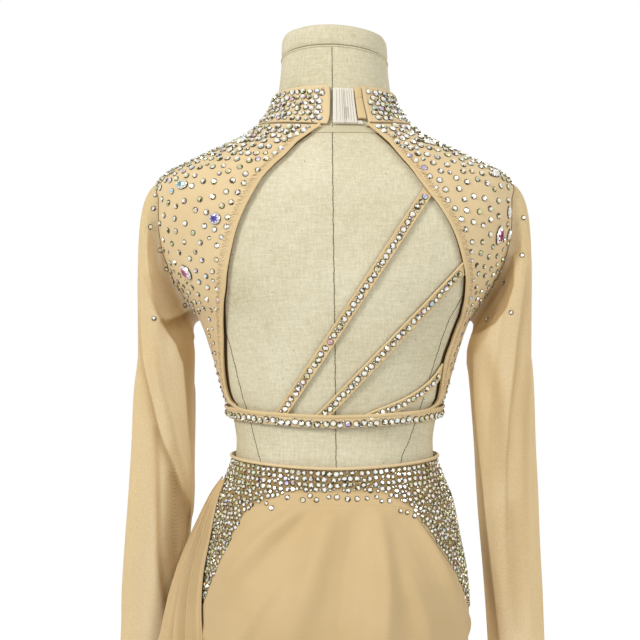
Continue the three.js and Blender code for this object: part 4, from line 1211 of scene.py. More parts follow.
# ---------------------------------------------------------------------------------------------
# Sleeves: sheer stretch mesh, set into the armholes, hanging in soft folds to open cuffs.
# ---------------------------------------------------------------------------------------------
MESH_CLOTH = "#efdaa9"
MESH_DOUBLED_AND_SHADED = "#b08b50"
MESH_WALL = 0.5
ARMHOLE = table("height spread", [
    (1341, 1),
    (1338.5, 4.5),
    (1335, 8),
    (1330, 11),
    (1316, 14.5),
    (1302, 14.5),
    (1287, 13),
    (1272, 11),
    (1257, 9),
    (1241, 6.5),
    (1225, 4),
    (1208, 2),
    (1190, 0),
])
SLEEVES = {
    "left": table("height outer inner middle depth", [
        (750, 247, 180, 42, 37),
        (790, 245, 177, 37, 38),
        (838, 242, 173, 31, 40),
        (890, 239, 166, 24, 42),
        (945, 234, 159, 17, 45),
        (1000, 229, 156, 11, 48),
        (1055, 225, 154, 6, 51),
        (1110, 222, 153, 2, 55),
        (1150, 217, 152, 0, 57),
    ]),
    "right": table("height outer inner middle depth", [
        (750, 242, 176, 35, 38),
        (790, 240, 174, 31, 39),
        (838, 237, 171, 26, 41),
        (890, 234, 167, 21, 43),
        (945, 230, 162, 16, 45),
        (1000, 227, 157, 11, 48),
        (1055, 223, 153, 6, 51),
        (1110, 220, 148, 2, 55),
        (1150, 217, 144, 0, 57),
    ]),
}
SLEEVE_FOLDS = {
    "left": table("top top_turn end end_turn width rise", [
        (1245, 30, 1120, 105, 13, 5),
        (1190, 70, 990, 150, 12, 4.5),
        (1150, 40, 800, 62, 14, 3.5),
        (1110, 110, 800, 96, 13, 3),
        (1190, 300, 820, 285, 15, 4),
        (1170, 240, 800, 235, 15, 4),
    ]),
    "right": table("top top_turn end end_turn width rise", [
        (1262, 48, 1165, 140, 12, 6),
        (1240, 22, 1110, 66, 12, 4.5),
        (1150, 112, 800, 130, 14, 3.5),
        (1120, 70, 790, 78, 13, 3),
        (1190, 300, 820, 290, 15, 4),
        (1170, 240, 800, 225, 15, 4),
    ]),
}
# Where the mesh folds over itself: a line across and up the sleeve, how far the upper layer stands out and
# how softly, the side on which it breaks off (1 is outwards, -1 towards the body), and how dark and how wide
# the doubled cloth and the painted shade of the fold's pocket are there.
CREASES = {
    "left": [
        {"line": [(204, 1240), (184, 1187), (170, 1164), (164, 1144), (162, 1105), (159, 1040), (158, 985)],
         "rise": 3.4, "soft": 12, "breaks": -1, "shade": 0.66, "spread": 20},
        {"line": [(186, 1192), (176, 1190), (166, 1196), (158, 1202), (150, 1208)],
         "rise": 2.2, "soft": 8, "breaks": 1, "shade": 0.6, "spread": 12},
        {"line": [(207, 1205), (202, 1150), (193, 1113), (184, 1071), (172, 1032), (162, 995), (158, 960)],
         "rise": 4.0, "soft": 13, "breaks": 1, "shade": 0.66, "spread": 8},
        {"line": [(190, 1080), (189, 1040), (189, 985), (189, 940), (186, 900), (180, 850)],
         "rise": -1.2, "soft": 5, "breaks": 0, "shade": 0.6, "spread": 4},
        {"line": [(174, 1030), (174, 980), (176, 930), (180, 880), (184, 830)],
         "rise": -1.6, "soft": 9, "breaks": 0, "shade": 0.55, "spread": 10},
        {"line": [(160, 1000), (164, 950), (170, 900), (176, 850)],
         "rise": 2.0, "soft": 6, "breaks": -1, "shade": 0.4, "spread": 9},
        {"line": [(224, 1130), (227, 1050), (231, 960), (236, 860)],
         "rise": 1.4, "soft": 6, "breaks": 0, "shade": 0.0, "spread": 5},
    ],
    "right": [
        {"line": [(192, 1262), (192, 1246), (190, 1226), (182, 1202), (171, 1186), (158, 1176), (143, 1172)],
         "rise": 3.0, "soft": 14, "breaks": -1, "shade": 0.62, "spread": 34},
        {"line": [(201, 1248), (196, 1211), (190, 1169), (184, 1105), (181, 1040), (183, 960)],
         "rise": 2.6, "soft": 11, "breaks": 1, "shade": 0.35, "spread": 9},
        {"line": [(158, 1164), (166, 1130), (172, 1105), (175, 1060), (177, 1010)],
         "rise": -1.6, "soft": 8, "breaks": 0, "shade": 0.35, "spread": 8},
        {"line": [(149, 1160), (152, 1105), (159, 1042), (166, 977), (177, 880), (186, 800)],
         "rise": 2.2, "soft": 9, "breaks": -1, "shade": 0.7, "spread": 8},
        {"line": [(209, 1150), (206, 1100), (205, 1040), (207, 960), (212, 880)],
         "rise": 2.4, "soft": 10, "breaks": -1, "shade": 0.3, "spread": 12},
        {"line": [(188, 1000), (190, 950), (193, 900), (198, 850)],
         "rise": -1.2, "soft": 8, "breaks": 0, "shade": 0.35, "spread": 8},
    ],
}
# Two layers of net that lie close beat together in fine arcs: middle, reach and strength.
MOIRE = {
    "left": {"across": 172, "height": 985, "wide": 11, "tall": 78, "strength": 0.28},
    "right": {"across": 180, "height": 930, "wide": 11, "tall": 70, "strength": 0.18},
}
MOIRE_PITCH = 4.4
MOIRE_BOW = 0.11


# Stretch mesh: nylon net finer than a pixel, so it looks like a thin tinted veil that turns denser where it
# slants away or lies double. Where it lies double and in the pockets of its folds, its colour goes to a
# darker brown: for the doubled cloth, and as painted shade.
def mesh_cloth_material():
    material, tree = new_material("sheer_stretch_mesh")
    place = add_node(tree, "ShaderNodeTexCoord").outputs["Object"]
    net = add_node(tree, "ShaderNodeTexNoise", Vector=place, Scale=1000 / 1.5, Detail=1.0)
    doubled_and_shaded_share = add_node(tree, "ShaderNodeAttribute", {"attribute_name": "doubled_and_shaded"}).outputs["Fac"]
    beat = add_node(tree, "ShaderNodeAttribute", {"attribute_name": "beat"}).outputs["Fac"]
    lens = add_node(tree, "ShaderNodeAttribute", {"attribute_name": "lens"}).outputs["Fac"]
    wave = add_node(tree, "ShaderNodeMath", {"operation": "SINE"}, i0=beat)
    wave = add_node(tree, "ShaderNodeMath", {"operation": "ADD"}, i0=wave.outputs[0], i1=1.0)
    arcs = add_node(tree, "ShaderNodeMath", {"operation": "MULTIPLY"}, i0=wave.outputs[0], i1=lens)
    arcs = add_node(tree, "ShaderNodeMath", {"operation": "MULTIPLY"}, i0=arcs.outputs[0], i1=0.3)
    facing = add_node(tree, "ShaderNodeLayerWeight", Blend=0.3)
    cover = add_node(tree, "ShaderNodeMapRange", i0=facing.outputs["Facing"], i3=0.4, i4=0.75)
    grain = add_node(tree, "ShaderNodeMapRange", i0=net.outputs["Fac"], i3=-0.1, i4=0.1)
    cover = add_node(tree, "ShaderNodeMath", {"operation": "ADD"}, i0=cover.outputs[0], i1=grain.outputs[0])
    extra = add_node(tree, "ShaderNodeMath", {"operation": "MULTIPLY"}, i0=doubled_and_shaded_share, i1=0.45)
    clamped = {"operation": "ADD", "use_clamp": True}
    cover = add_node(tree, "ShaderNodeMath", clamped, i0=cover.outputs[0], i1=extra.outputs[0])
    # Doubled cloth, fold pockets and moiré arcs mix the colour towards the darker brown; in the pockets this
    # is painted shade.
    depth = add_node(tree, "ShaderNodeMath", clamped, i0=doubled_and_shaded_share, i1=arcs.outputs[0]).outputs[0]
    colour = add_node(
        tree, "ShaderNodeMix", {"data_type": "RGBA"}, i0=depth, i6=linear(MESH_CLOTH), i7=linear(MESH_DOUBLED_AND_SHADED)
    ).outputs[2]
    cloth = add_node(
        tree,
        "ShaderNodeBsdfPrincipled",
        Base_Color=colour,
        Roughness=0.8,
        Specular_IOR_Level=0.2,
        Sheen_Weight=0.2,
    )
    glow = add_node(tree, "ShaderNodeBsdfTranslucent", Color=colour)
    thin = add_node(tree, "ShaderNodeMixShader", i0=0.3, i1=cloth.outputs[0], i2=glow.outputs[0])
    clear = add_node(tree, "ShaderNodeBsdfTransparent", Color=(1, 1, 1, 1))
    mix = add_node(tree, "ShaderNodeMixShader", i0=cover.outputs[0], i1=clear.outputs[0], i2=thin.outputs[0])
    add_node(tree, "ShaderNodeOutputMaterial", Surface=mix.outputs[0])
    return material


sheer_mesh = mesh_cloth_material()


def armhole_point(side, q):
    """Points round the armhole, by the share of the way round it."""
    at = np.where(q <= 0.5, q, 1 - q) * 2 * (len(ARMHOLE) - 1)
    order = [dict(row, order=i) for i, row in enumerate(ARMHOLE)]
    middle = (ARMHOLE[0]["height"] + ARMHOLE[-1]["height"]) / 2
    height = curve_through(order, "order", "height")(at)
    spread = curve_through(order, "order", "spread")(at)
    branch = np.where(q <= 0.5, -1, 1)
    turn = side * (90 + branch * np.clip(spread - 0.35, 0.08, None))
    height = middle + (height - middle) * (1 - 1.6 / 151)
    return lifted(height, turn, np.full(len(q), CLOTH_LIFT + CLOTH_WALL))


def sleeve_section(side, name, height, q):
    """Points round the sleeve at a height, by the share of the way round it."""
    at = {
        column: curve_through(SLEEVES[name], "height", column)(height)
        for column in ("outer", "inner", "middle", "depth")
    }
    round_ = 360 * q
    rise = np.zeros(np.broadcast(height, q).shape)
    for fold in SLEEVE_FOLDS[name]:
        fall = (fold["top"] - height) / (fold["top"] - fold["end"])
        centre = fold["top_turn"] + (fold["end_turn"] - fold["top_turn"]) * fall
        window = np.sin(np.pi * np.clip(fall, 0, 1)) ** 0.6
        rise += fold["rise"] * window * np.exp(-((wrapped(round_ - centre) / fold["width"]) ** 2))
    middle = (at["outer"] + at["inner"]) / 2
    half = (at["outer"] - at["inner"]) / 2
    across, along = np.cos(np.radians(round_)), np.sin(np.radians(round_))
    x = side * (middle + (half - 2 + rise) * across)
    y = at["middle"] - (at["depth"] + rise) * along
    return np.stack([x, y, height + 0 * x], -1)


def creased(name, points, facing_back):
    """How far the creases lift the mesh, and how much cloth lies double there, together with the painted
    shade of each fold's pocket.
    """
    across, up = np.abs(points[..., 0]), points[..., 2]
    rise, doubled_and_shaded = np.zeros(across.shape), np.zeros(across.shape)
    for crease in CREASES[name]:
        away, along = beside(crease["line"], across, up)
        window = np.sin(np.pi * np.clip(along, 0, 1)) ** 0.45
        past = away * crease["breaks"]
        width = np.where(past > 0, 1.6, crease["soft"])
        rise += crease["rise"] * window * np.exp(-((away / width) ** 2))
        # Past the break the doubled cloth is darkened, which also paints the shade in the fold's pocket.
        dark = np.clip(past + 0.5, 0, 1) if crease["breaks"] else 1.0
        doubled_and_shaded += crease["shade"] * window * dark * np.exp(-((away / crease["spread"]) ** 2))
    return rise * facing_back, np.clip(doubled_and_shaded, 0, 1) * facing_back


SLEEVE_COLUMNS = 150
HEAD_ROWS = 54
ARM_ROWS = 106
SLEEVE_HEAD = {"out": 8, "out_share": 0.1, "drop_share": 0.06, "lead_share": 0.5}
sleeve_grids = {}
for name, side in (("left", -1), ("right", 1)):
    q = np.linspace(0, 1, SLEEVE_COLUMNS, endpoint=False)
    start = SLEEVES[name][-1]["height"]
    from_ = armhole_point(side, q)
    to = sleeve_section(side, name, np.full(len(q), float(start)), q)
    fall = from_[:, 2] - to[:, 2]
    outwards = SLEEVE_HEAD["out"] + SLEEVE_HEAD["out_share"] * fall
    lead_out = from_ + np.stack([side * outwards, 0 * fall, -SLEEVE_HEAD["drop_share"] * fall], -1)
    lead_in = to + np.stack([0 * fall, 0 * fall, SLEEVE_HEAD["lead_share"] * fall], -1)
    rows = []
    for t in np.linspace(0, 1, HEAD_ROWS, endpoint=False):
        near_armhole = (1 - t) ** 3 * from_ + 3 * (1 - t) ** 2 * t * lead_out
        rows.append(near_armhole + 3 * (1 - t) * t**2 * lead_in + t**3 * to)
    for level in np.linspace(start, SLEEVES[name][0]["height"], ARM_ROWS):
        rows.append(sleeve_section(side, name, np.full(len(q), level), q))
    outer = np.stack(rows)
    normal = grid_normal(outer, outer.mean(axis=1, keepdims=True), closed=True)
    back = np.clip(-normal[..., 1] * 3 + 0.2, 0, 1)
    front = np.clip(normal[..., 1] * 3 + 0.2, 0, 1)
    rise, doubled_and_shaded = creased(name, outer, back)
    front_rise, front_doubled_and_shaded = creased(name, outer + np.array([side * 5, 0, 30]), front * 0.8)
    held = np.clip(np.arange(len(rows)) / 10, 0, 1)[:, None]
    outer = outer + normal * ((rise + front_rise) * held)[..., None]
    sleeve_grids[name] = {"points": outer, "normal": normal}
    sleeve = wall_piece(
        f"mesh_sleeve_{name}", outer, outer - normal * MESH_WALL, sheer_mesh, f"sleeve_{name}", "sleeve_mesh",
        closed=True, crease=75,
    )
    arc = MOIRE[name]
    off = np.abs(outer[..., 0]) - arc["across"]
    lens = np.exp(-((off / arc["wide"]) ** 4) - ((outer[..., 2] - arc["height"]) / arc["tall"]) ** 4) * back
    beat = 2 * np.pi * (outer[..., 2] - MOIRE_BOW * off**2) / MOIRE_PITCH
    marks = {"doubled_and_shaded": doubled_and_shaded + front_doubled_and_shaded, "lens": lens * arc["strength"], "beat": beat}
    for mark, values in marks.items():
        attribute = sleeve.data.attributes.new(mark, "FLOAT", "POINT")
        attribute.data.foreach_set("value", np.concatenate([values.ravel(), values.ravel()]))
    cuff = outer[-3] + normal[-3] * 0.1
    cuff_line = tube_along(np.concatenate([cuff, cuff[:1]]), 0.3, 4)
    mesh_piece(f"cuff_stitching_{name}", *cuff_line, hem_thread, slot="sleeve_mesh")

# ---------------------------------------------------------------------------------------------
# Large sew-on stones: cut glass in a pale rim, each with its own coloured heart. Three long flat ones lie
# along the shoulders.
# ---------------------------------------------------------------------------------------------
# White and grey are painted glints and dim reflections of the facets. The foil is dark with painted shadow,
# and the other colours are the glass's tints.
GLASS = {
    "crystal_white_glint": "#fdfcf8",
    "crystal_grey_dim_reflection": "#cbc8b8",
    "crystal_champagne": "#e4d9a4",
    "crystal_green": "#c3d3a0",
    "crystal_lilac": "#c3b1df",
    "crystal_sky": "#a6d2e8",
    "crystal_rose": "#dfa5b4",
    "crystal_foil_painted_shadow": "#4d4226",
}
STONES = table("name height turn length width rise lean point", [
    ("stone_oval_left", 1329, -65.3, 14.5, 9.5, 4, 90, 0),
    ("stone_round_left", 1293, -53.2, 12, 12, 4.5, 0, 0),
    ("stone_pear_left", 1241, -66.6, 18, 11, 4.5, -35, 0.5),
    ("stone_navette_right", 1279, 69.1, 20, 9.5, 4.5, 0, 0.25),
    ("stone_marquise_right", 1303, 73, 13, 6, 3.5, 0, 0.25),
    ("stone_pear_right", 1281, 75, 12, 7, 3.5, 0, 0.5),
])
# Each heart is a lighter and a darker copy of one colour, laid on alternate facets as painted light and
# shade.
HEARTS = {
    "stone_oval_left": ("#a9c9c2", "#6f9a9b"),
    "stone_round_left": ("#8479c4", "#4b4291"),
    "stone_pear_left": ("#c98aa6", "#9c4f74"),
    "stone_navette_right": ("#b2347c", "#7a1f5c"),
    "stone_marquise_right": ("#e9e6da", "#b9b08d"),
    "stone_pear_right": ("#f2efe6", "#c9c2a4"),
}
LONG_STONES = table("name height x length width rise lean point", [
    ("shoulder_stone_left", 1376, -97, 19, 9, 3.2, -68, 0.3),
    ("shoulder_stone_right", 1373, 96.5, 10, 7, 3, 60, 0.2),
    ("shoulder_stone_outer", 1341, 166, 16, 8, 3, 62, 0.25),
])
GEM_SIDES = 16
GEM_PROFILE = table("size rise turned", [
    (1.06, 0, 0),
    (1.0, 0.3, 0),
    (0.84, 0.62, 0.5),
    (0.6, 0.9, 0),
    (0.34, 1.0, 0.5),
])


# Lead-free crystal over silver foil: bright, hard and glinting, its foiled sides dark. The white and grey
# colours are painted glints and dim reflections of the facets, and the dark foil is painted shadow as well as
# foil.
def crystal_material(name, colour):
    material, tree = new_material(name)
    dark = name == "crystal_foil_painted_shadow"
    shader = add_node(
        tree,
        "ShaderNodeBsdfPrincipled",
        Base_Color=linear(colour),
        Metallic=0.2 if dark else 0.35,
        Roughness=0.35 if dark else 0.1,
        Coat_Weight=0.0 if dark else 0.6,
        Coat_Roughness=0.04,
    )
    add_node(tree, "ShaderNodeOutputMaterial", Surface=shader.outputs[0])
    return material


glass = [crystal_material(name, colour) for name, colour in GLASS.items()]


def axes_on(normals):
    """Two directions along a surface, across and up it, for each of its normals."""
    up = np.where(np.abs(normals[:, 2:]) < 0.85, [[0, 0, 1.0]], [[0, -1.0, 0]])
    across = unit(np.cross(up, normals))
    return across, np.cross(normals, across)


def gem_piece(name, stone, turn, lift, heart, node=None):
    """A cut stone whose rim is white and grey, and whose middle shows its heart in a lighter and a darker
    copy, on alternate facets as painted glints and shade of the cut. Its foot and back are dark foil with
    painted shadow.
    """
    middle = lifted(stone["height"], turn, lift)
    out = body_normal(stone["height"], turn)
    across, up = (axis[0] for axis in axes_on(out[None]))
    lean = math.radians(stone["lean"])
    finishes = glass[:2] + [crystal_material(f"{name}_heart_{i}", colour) for i, colour in enumerate(heart)]
    finishes.append(glass[-1])
    rings = []
    for ring in GEM_PROFILE:
        angle = (np.arange(GEM_SIDES) + ring["turned"]) * 2 * np.pi / GEM_SIDES
        taper = 1 - stone["point"] * np.clip(np.cos(angle), 0, None) ** 2
        long = ring["size"] * stone["length"] * np.cos(angle) / 2
        wide = ring["size"] * stone["width"] * taper * np.sin(angle) / 2
        rings.append(
            middle
            + np.outer(long * math.cos(lean) - wide * math.sin(lean), up)
            + np.outer(long * math.sin(lean) + wide * math.cos(lean), across)
            + out * ring["rise"] * stone["rise"]
        )
    faces = ring_faces(len(rings), GEM_SIDES)
    shades = []
    for finish in ((4, 4), (1, 0), (0, 2), (2, 3)):
        shades += [finish[i % 2] for i in range(GEM_SIDES)]
    shades += [4, 3]
    points = np.concatenate(rings)
    return mesh_piece(name, points, faces, finishes, node, "crystal", crease=0, shades=shades)


GEM_LIFT = TRIM_LIFT + 0.3 - 0.9
for stone in STONES:
    node = stone["name"]
    gem_piece(f"cut_{node}", stone, stone["turn"], GEM_LIFT, HEARTS[node], node)
for stone in LONG_STONES:
    turn = float(turn_at(stone["height"], stone["x"]))
    gem_piece(stone["name"], stone, turn, CLOTH_LIFT + CLOTH_WALL, ("#f4f2ea", "#e2dfd2"))

# ---------------------------------------------------------------------------------------------
# Rhinestones: foiled flat-backed glass, glued on one by one. Each has a sloping foiled side, dark both as
# foil and as painted shadow round its foot, a ring of eight facets and a flat table. They crowd at the
# collar, the straps and the hips.
# ---------------------------------------------------------------------------------------------
FACETS = 8
# The outer ring reaches past the stone, so its dark foil side shows all round as a painted shadow outline.
STONE_PROFILE = table("size out rise", [
    (1.0, 0.6, 0),
    (0.93, 0, 0.15),
    (0.52, 0, 0.36),
])
# How often each glass shows in a stone's crown, in the order above, and then in its table. White facets are
# painted glints, grey and foil ones are painted dim and dark reflections, and the others are the glass's
# tints.
FACET_SHARES = {
    "clear": ((40, 18, 15, 6, 2, 2, 2, 17), (84, 8, 8, 0, 0, 0, 0, 0)),
    "green": ((18, 12, 24, 22, 0, 0, 0, 24), (40, 16, 26, 18, 0, 0, 0, 0)),
    "lilac": ((34, 14, 0, 0, 30, 6, 4, 12), (50, 10, 0, 0, 40, 0, 0, 0)),
    "sky": ((34, 18, 0, 4, 4, 26, 0, 14), (50, 10, 0, 0, 0, 40, 0, 0)),
    "rose": ((34, 18, 4, 0, 8, 0, 22, 14), (60, 10, 0, 0, 0, 0, 30, 0)),
}
# The foil colour covers each stone's side and back; it is dark both as foil and as painted shadow.
FOIL_AND_SHADOW = list(GLASS).index("crystal_foil_painted_shadow")


def rhinestones(name, centres, normals, diameters, tints):
    """One piece of many stones."""
    count = len(centres)
    normals = unit(normals + random.normal(0, 0.06, (count, 3)))
    across, up = axes_on(normals)
    angles = random.uniform(0, 2 * np.pi, count)[:, None] + np.arange(FACETS) * 2 * np.pi / FACETS
    spokes = np.cos(angles)[..., None] * across[:, None] + np.sin(angles)[..., None] * up[:, None]
    rings = []
    for ring in STONE_PROFILE:
        radius = (diameters / 2 * ring["size"] + ring["out"])[:, None, None]
        rise = (diameters * ring["rise"])[:, None, None]
        rings.append(centres[:, None] + spokes * radius + normals[:, None] * rise)
    points = np.stack(rings, axis=1).reshape(-1, 3)
    i = np.arange(FACETS)
    j = (i + 1) % FACETS
    bands = [np.stack([i + low, j + low, j + low + FACETS, i + low + FACETS], -1) for low in (0, FACETS)]
    quads = (np.concatenate(bands)[None] + np.arange(count)[:, None, None] * len(STONE_PROFILE) * FACETS)
    starts = np.arange(count) * len(STONE_PROFILE) * FACETS
    tables = starts[:, None] + 2 * FACETS + i
    backs = starts[:, None] + i[::-1]
    shades = np.full((count, 2 * FACETS + 2), FOIL_AND_SHADOW)
    for tint, (crown, top) in FACET_SHARES.items():
        mine = np.flatnonzero(tints == tint)
        shares = np.array(crown) / sum(crown)
        shades[mine, FACETS : 2 * FACETS] = random.choice(len(glass), (len(mine), FACETS), p=shares)
        shades[mine, 2 * FACETS] = random.choice(len(glass), len(mine), p=np.array(top) / sum(top))
    faces = []
    for stone in range(count):
        faces += quads[stone].tolist() + [tables[stone].tolist(), backs[stone].tolist()]
    return mesh_piece(name, points, faces, glass, slot="crystal", crease=0, shades=shades)


def fitted(centres, diameters, gaps, first=0):
    """Which stones fit, each clear of those before it by its gap. The first few keep their order,
    and the largest of the rest go before the smaller."""
    order = np.argsort(-np.round(diameters[first:] * 1.5), kind="stable") + first
    order = np.append(np.arange(first), order)
    kept = np.empty((len(centres), 3))
    radii = np.empty(len(centres))
    chosen = []
    for i in order:
        n = len(chosen)
        away = np.linalg.norm(kept[:n] - centres[i], axis=1)
        if n and np.any(away < radii[:n] + diameters[i] / 2 + gaps[i]):
            continue
        kept[n], radii[n] = centres[i], diameters[i] / 2
        chosen.append(i)
    return np.array(chosen)


def places_on(grid, count):
    """Random places on a grid of the body's cloth, with their ways to its edges."""
    rows, columns = grid["height"].shape
    row, column = random.uniform(0, rows - 1.001, count), random.uniform(0, columns - 1.001, count)
    i, j = row.astype(int), column.astype(int)
    s, t = row - i, column - j

    def at(values):
        low = values[i, j] * (1 - t) + values[i, j + 1] * t
        high = values[i + 1, j] * (1 - t) + values[i + 1, j + 1] * t
        return low * (1 - s) + high * s

    over, down = lengths_along(grid["points"], 1), lengths_along(grid["points"], 0)
    return {
        "height": at(grid["height"]),
        "turn": at(grid["turn"]),
        "first": at(over),
        "last": at(over[:, -1:] - over),
        "top": at(down),
        "bottom": at(down[-1:] - down),
    }


def tint_for(turn):
    """Mostly clear stones, with more green ones where they turn away to the sides."""
    side = np.clip((np.abs(np.sin(np.radians(turn))) - 0.72) * 3, 0, 0.75)
    draw = random.uniform(0, 1, len(turn))
    rare = random.choice(["lilac", "sky", "rose"], len(turn), p=[0.5, 0.25, 0.25])
    return np.where(draw < side, "green", np.where(draw > 0.93, rare, "clear"))


def glued(name, height, turn, diameters, gaps, lift, first=0):
    """Stones glued over an area of cloth."""
    centres = lifted(height, turn, np.full(len(height), lift))
    chosen = fitted(centres, diameters, gaps, first)
    normals = body_normal(height, turn)
    return rhinestones(name, centres[chosen], normals[chosen], diameters[chosen], tint_for(turn)[chosen])


def in_rows(top_line, turns, first, pitch, rows, wander):
    """Places in rows below a line round the body, alternate rows shifted by half a stone."""
    heights, turned = [], []
    for row in range(rows):
        level = top_line(turns) - first - row * pitch * 0.88
        points = lifted(level, turns, np.full(len(turns), CLOTH_LIFT))
        length = lengths_along(points[:, None], 0)[:, 0]
        at = np.arange(pitch * (0.2 + 0.5 * (row % 2)), length[-1], pitch)
        at = at + random.uniform(-wander, wander, len(at))
        heights.append(np.interp(at, length, level) + random.uniform(-wander, wander, len(at)))
        turned.append(np.interp(at, length, turns))
    return np.concatenate(heights), np.concatenate(turned)


# Collar: crowded rows, the gaps filled with smaller stones, its turned edges left bare.
COLLAR_FILL = 9000
around = np.linspace(COLLAR_ENDS["right"] + 5.5, COLLAR_ENDS["left"] - 6.5, 400)
height, turn = in_rows(lambda turns: COLLAR_TOP + 0 * turns, around, 6.2, 7.2, 7, 1.0)
first = len(height)
height = np.append(height, random.uniform(1391, COLLAR_TOP - 4, COLLAR_FILL))
turn = np.append(turn, random.uniform(around[0], around[-1], COLLAR_FILL))
sizes = np.append(random.uniform(5.4, 7.0, first), random.choice([6.4, 5.2, 4.2, 3.0], COLLAR_FILL))
keep = height > collar_seam(turn) + 1 + sizes / 2
glued(
    "rhinestones_collar", height[keep], turn[keep], sizes[keep], np.full(keep.sum(), 0.28),
    CLOTH_LIFT + COLLAR_WALL - 0.05, int(keep[:first].sum()),
)

# Back yokes and front: crowded at the neck and along the shoulders, thinning downwards, then
# close again on the narrow parts beside the open back.
YOKE_STONES = table("height size gap", [
    (1102, 3.6, 2.2),
    (1150, 4.0, 3.6),
    (1190, 4.3, 4.4),
    (1212, 4.6, 4.6),
    (1232, 4.8, 5.8),
    (1270, 5.0, 7.8),
    (1300, 5.3, 7.4),
    (1330, 5.4, 6.0),
    (1350, 5.6, 3.9),
    (1365, 6.1, 1.6),
    (1380, 6.5, 0.6),
    (1402, 6.5, 0.3),
])
size_at = curve_through(YOKE_STONES, "height", "size")
gap_at = curve_through(YOKE_STONES, "height", "gap")
YOKE_DRAWS = 22000
GLUE_LIFT = CLOTH_LIFT + CLOTH_WALL - 0.05
for name, grid in (("left", yoke_grids["left"]), ("right", yoke_grids["right"]), ("front", front_grid)):
    place = places_on(grid, YOKE_DRAWS)
    height, turn = place["height"], place["turn"]
    ridge = np.clip((np.abs(np.sin(np.radians(turn))) - 0.9) * 14, 0, 1) * (height > 1335)
    beside_edge = np.clip((26 - place["first"]) / 14, 0, 1) * (height > 1225) * (name != "front")
    sizes = size_at(height) * random.uniform(0.72, 1.12, YOKE_DRAWS) * (1 - 0.18 * ridge)
    gaps = gap_at(height) * (1 - 0.92 * ridge) * (1 - 0.35 * beside_edge)
    gaps = gaps * random.uniform(0.7, 1.2, YOKE_DRAWS)
    keep = place["top"] > 0.6 + sizes / 2
    if name == "front":
        keep &= height > 1262 - 40 * np.abs(np.sin(np.radians(turn)))
    else:
        bare = np.where(height > 1340, 6.5, np.where(height > 1225, 9.5, 5.5))
        keep &= (place["first"] > bare) & (place["last"] > 0.5 + sizes / 2)
        in_file = (np.abs(place["first"] - 25) < 7) & (random.uniform(0, 1, YOKE_DRAWS) < 0.06)
        keep &= (height > 1200) | in_file
    centres = lifted(height, turn, np.full(YOKE_DRAWS, TRIM_LIFT))
    for stone in STONES:
        middle = lifted(stone["height"], stone["turn"], TRIM_LIFT)
        keep &= np.linalg.norm(centres - middle, axis=1) > stone["length"] / 2 + sizes / 2 + 0.8
    glued(f"rhinestones_yoke_{name}", height[keep], turn[keep], sizes[keep], gaps[keep], GLUE_LIFT)


def stones_on_ribbon(name, height, turn, lanes, lift, sizes, gap, draws, ends):
    """Stones down the middle of a ribbon."""
    points = lifted(height, turn, np.full(len(height), lift))
    along = unit(np.gradient(points, axis=0))
    out = body_normal(height, turn)
    side = unit(np.cross(out, along))
    length = lengths_along(points[:, None], 0)[:, 0]
    at = random.uniform(ends[0], length[-1] - ends[1], draws)
    diameters = random.choice(sizes, draws)
    slack = np.clip((lanes[1] - lanes[0] - diameters) / 2, 0.05, None)
    lane = (lanes[0] + lanes[1]) / 2 + random.uniform(-1, 1, draws) * slack

    def on_path(values):
        return np.stack([np.interp(at, length, values[:, k]) for k in range(3)], -1)

    centres = on_path(points) + on_path(side) * lane[:, None]
    chosen = fitted(centres, diameters, np.full(draws, gap))
    normals = unit(on_path(out))[chosen]
    tints = tint_for(np.interp(at, length, turn))[chosen]
    return rhinestones(name, centres[chosen], normals, diameters[chosen], tints)


for name, (height, turn) in strap_paths.items():
    stones_on_ribbon(
        f"rhinestones_{name}", height, turn, (-3.8, 3.8), CLOTH_LIFT + STRAP_WALL - 0.05,
        [6.0, 5.6, 4.8, 4.0, 3.0, 2.4], 0.2, 9000, (4, 5),
    )
band_height, band_turn = ring_path(**BAND)
stones_on_ribbon(
    "rhinestones_under_band", band_height, band_turn, (-6.4, 2.2), TRIM_LIFT + STRAP_WALL - 0.05,
    [6.6, 6.2, 5.6, 4.2, 3.0, 2.4], 0.25, 20000, (1, 1),
)


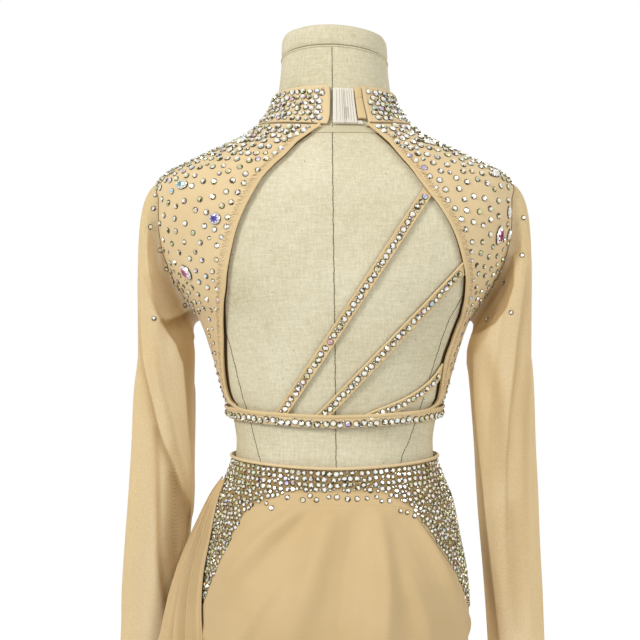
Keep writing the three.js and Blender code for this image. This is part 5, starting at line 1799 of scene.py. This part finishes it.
# Hips: rows below the piping, and crowds down to a point at each side, where a few stray onto
# the crepe. Above the middle of the yoke's edge they thin out to single stones.
HIP_ROWS = 4
HIP_FILL = 30000
STRAYS = {"below_edge": 7, "share": 0.035, "thin_share": 0.07}
for name, facing in (("back", 0), ("front", 180)):
    around = np.linspace(-89, 89, 360) + facing
    height, turn = in_rows(waist_line, around, 5.3, 6.6, HIP_ROWS, 0.75)
    first = len(height)
    height = np.append(height, random.uniform(866, 1040, HIP_FILL))
    turn = np.append(turn, random.uniform(around[0], around[-1], HIP_FILL))
    aside = np.abs(np.sin(np.radians(turn)))
    past, crowd = stone_crowding(height, turn, facing)
    thin = crowd < 0.5
    chance = random.uniform(0, 1, len(height))
    row_sizes = random.uniform(5.2, 6.3, first)
    sizes = np.append(row_sizes, random.choice([5.6, 5.2, 4.6, 3.6, 2.8, 2.2], HIP_FILL))
    sizes = np.where(thin, np.clip(sizes, 4.4, 6), sizes) * (1.02 - 0.2 * aside)
    keep = (past > 2.2 + 0.3 * sizes) & (~thin | (chance < STRAYS["thin_share"]))
    keep |= (past > -STRAYS["below_edge"]) & (past < 2) & (aside > 0.62) & (chance < STRAYS["share"])
    keep &= height < waist_line(turn) - 2.1 - sizes / 2
    glued(
        f"rhinestones_hip_{name}", height[keep], turn[keep], sizes[keep], np.where(thin, 2.5, 0.2)[keep],
        GLUE_LIFT, int(keep[:first].sum()),
    )

# Sleeves: a few single stones on the upper arm, by their place across and up it.
SLEEVE_STONES = {
    "left": [
        (191.5, 1323), (191.5, 1308), (195.5, 1289), (187.6, 1265), (181.8, 1245), (172.3, 1231),
        (163.8, 1206), (189, 1192),
    ],
    "right": [(199.4, 1298), (196.3, 1258), (182.5, 1230), (163.5, 1217), (183.6, 1199), (163.5, 1191)],
}
for name, spots in SLEEVE_STONES.items():
    points, normal = sleeve_grids[name]["points"], sleeve_grids[name]["normal"]
    centres, outwards = [], []
    for across, up in spots:
        off = (np.abs(points[..., 0]) - across) ** 2 + (points[..., 2] - up) ** 2
        off = off + 1e6 * (normal[..., 1] > -0.15)  # only where the mesh faces back
        nearest = np.unravel_index(np.argmin(off), off.shape)
        centres.append(points[nearest])
        outwards.append(normal[nearest])
    sizes = random.uniform(4.2, 5.2, len(spots))
    tints = np.full(len(spots), "clear")
    rhinestones(f"rhinestones_sleeve_{name}", np.array(centres), np.array(outwards), sizes, tints)
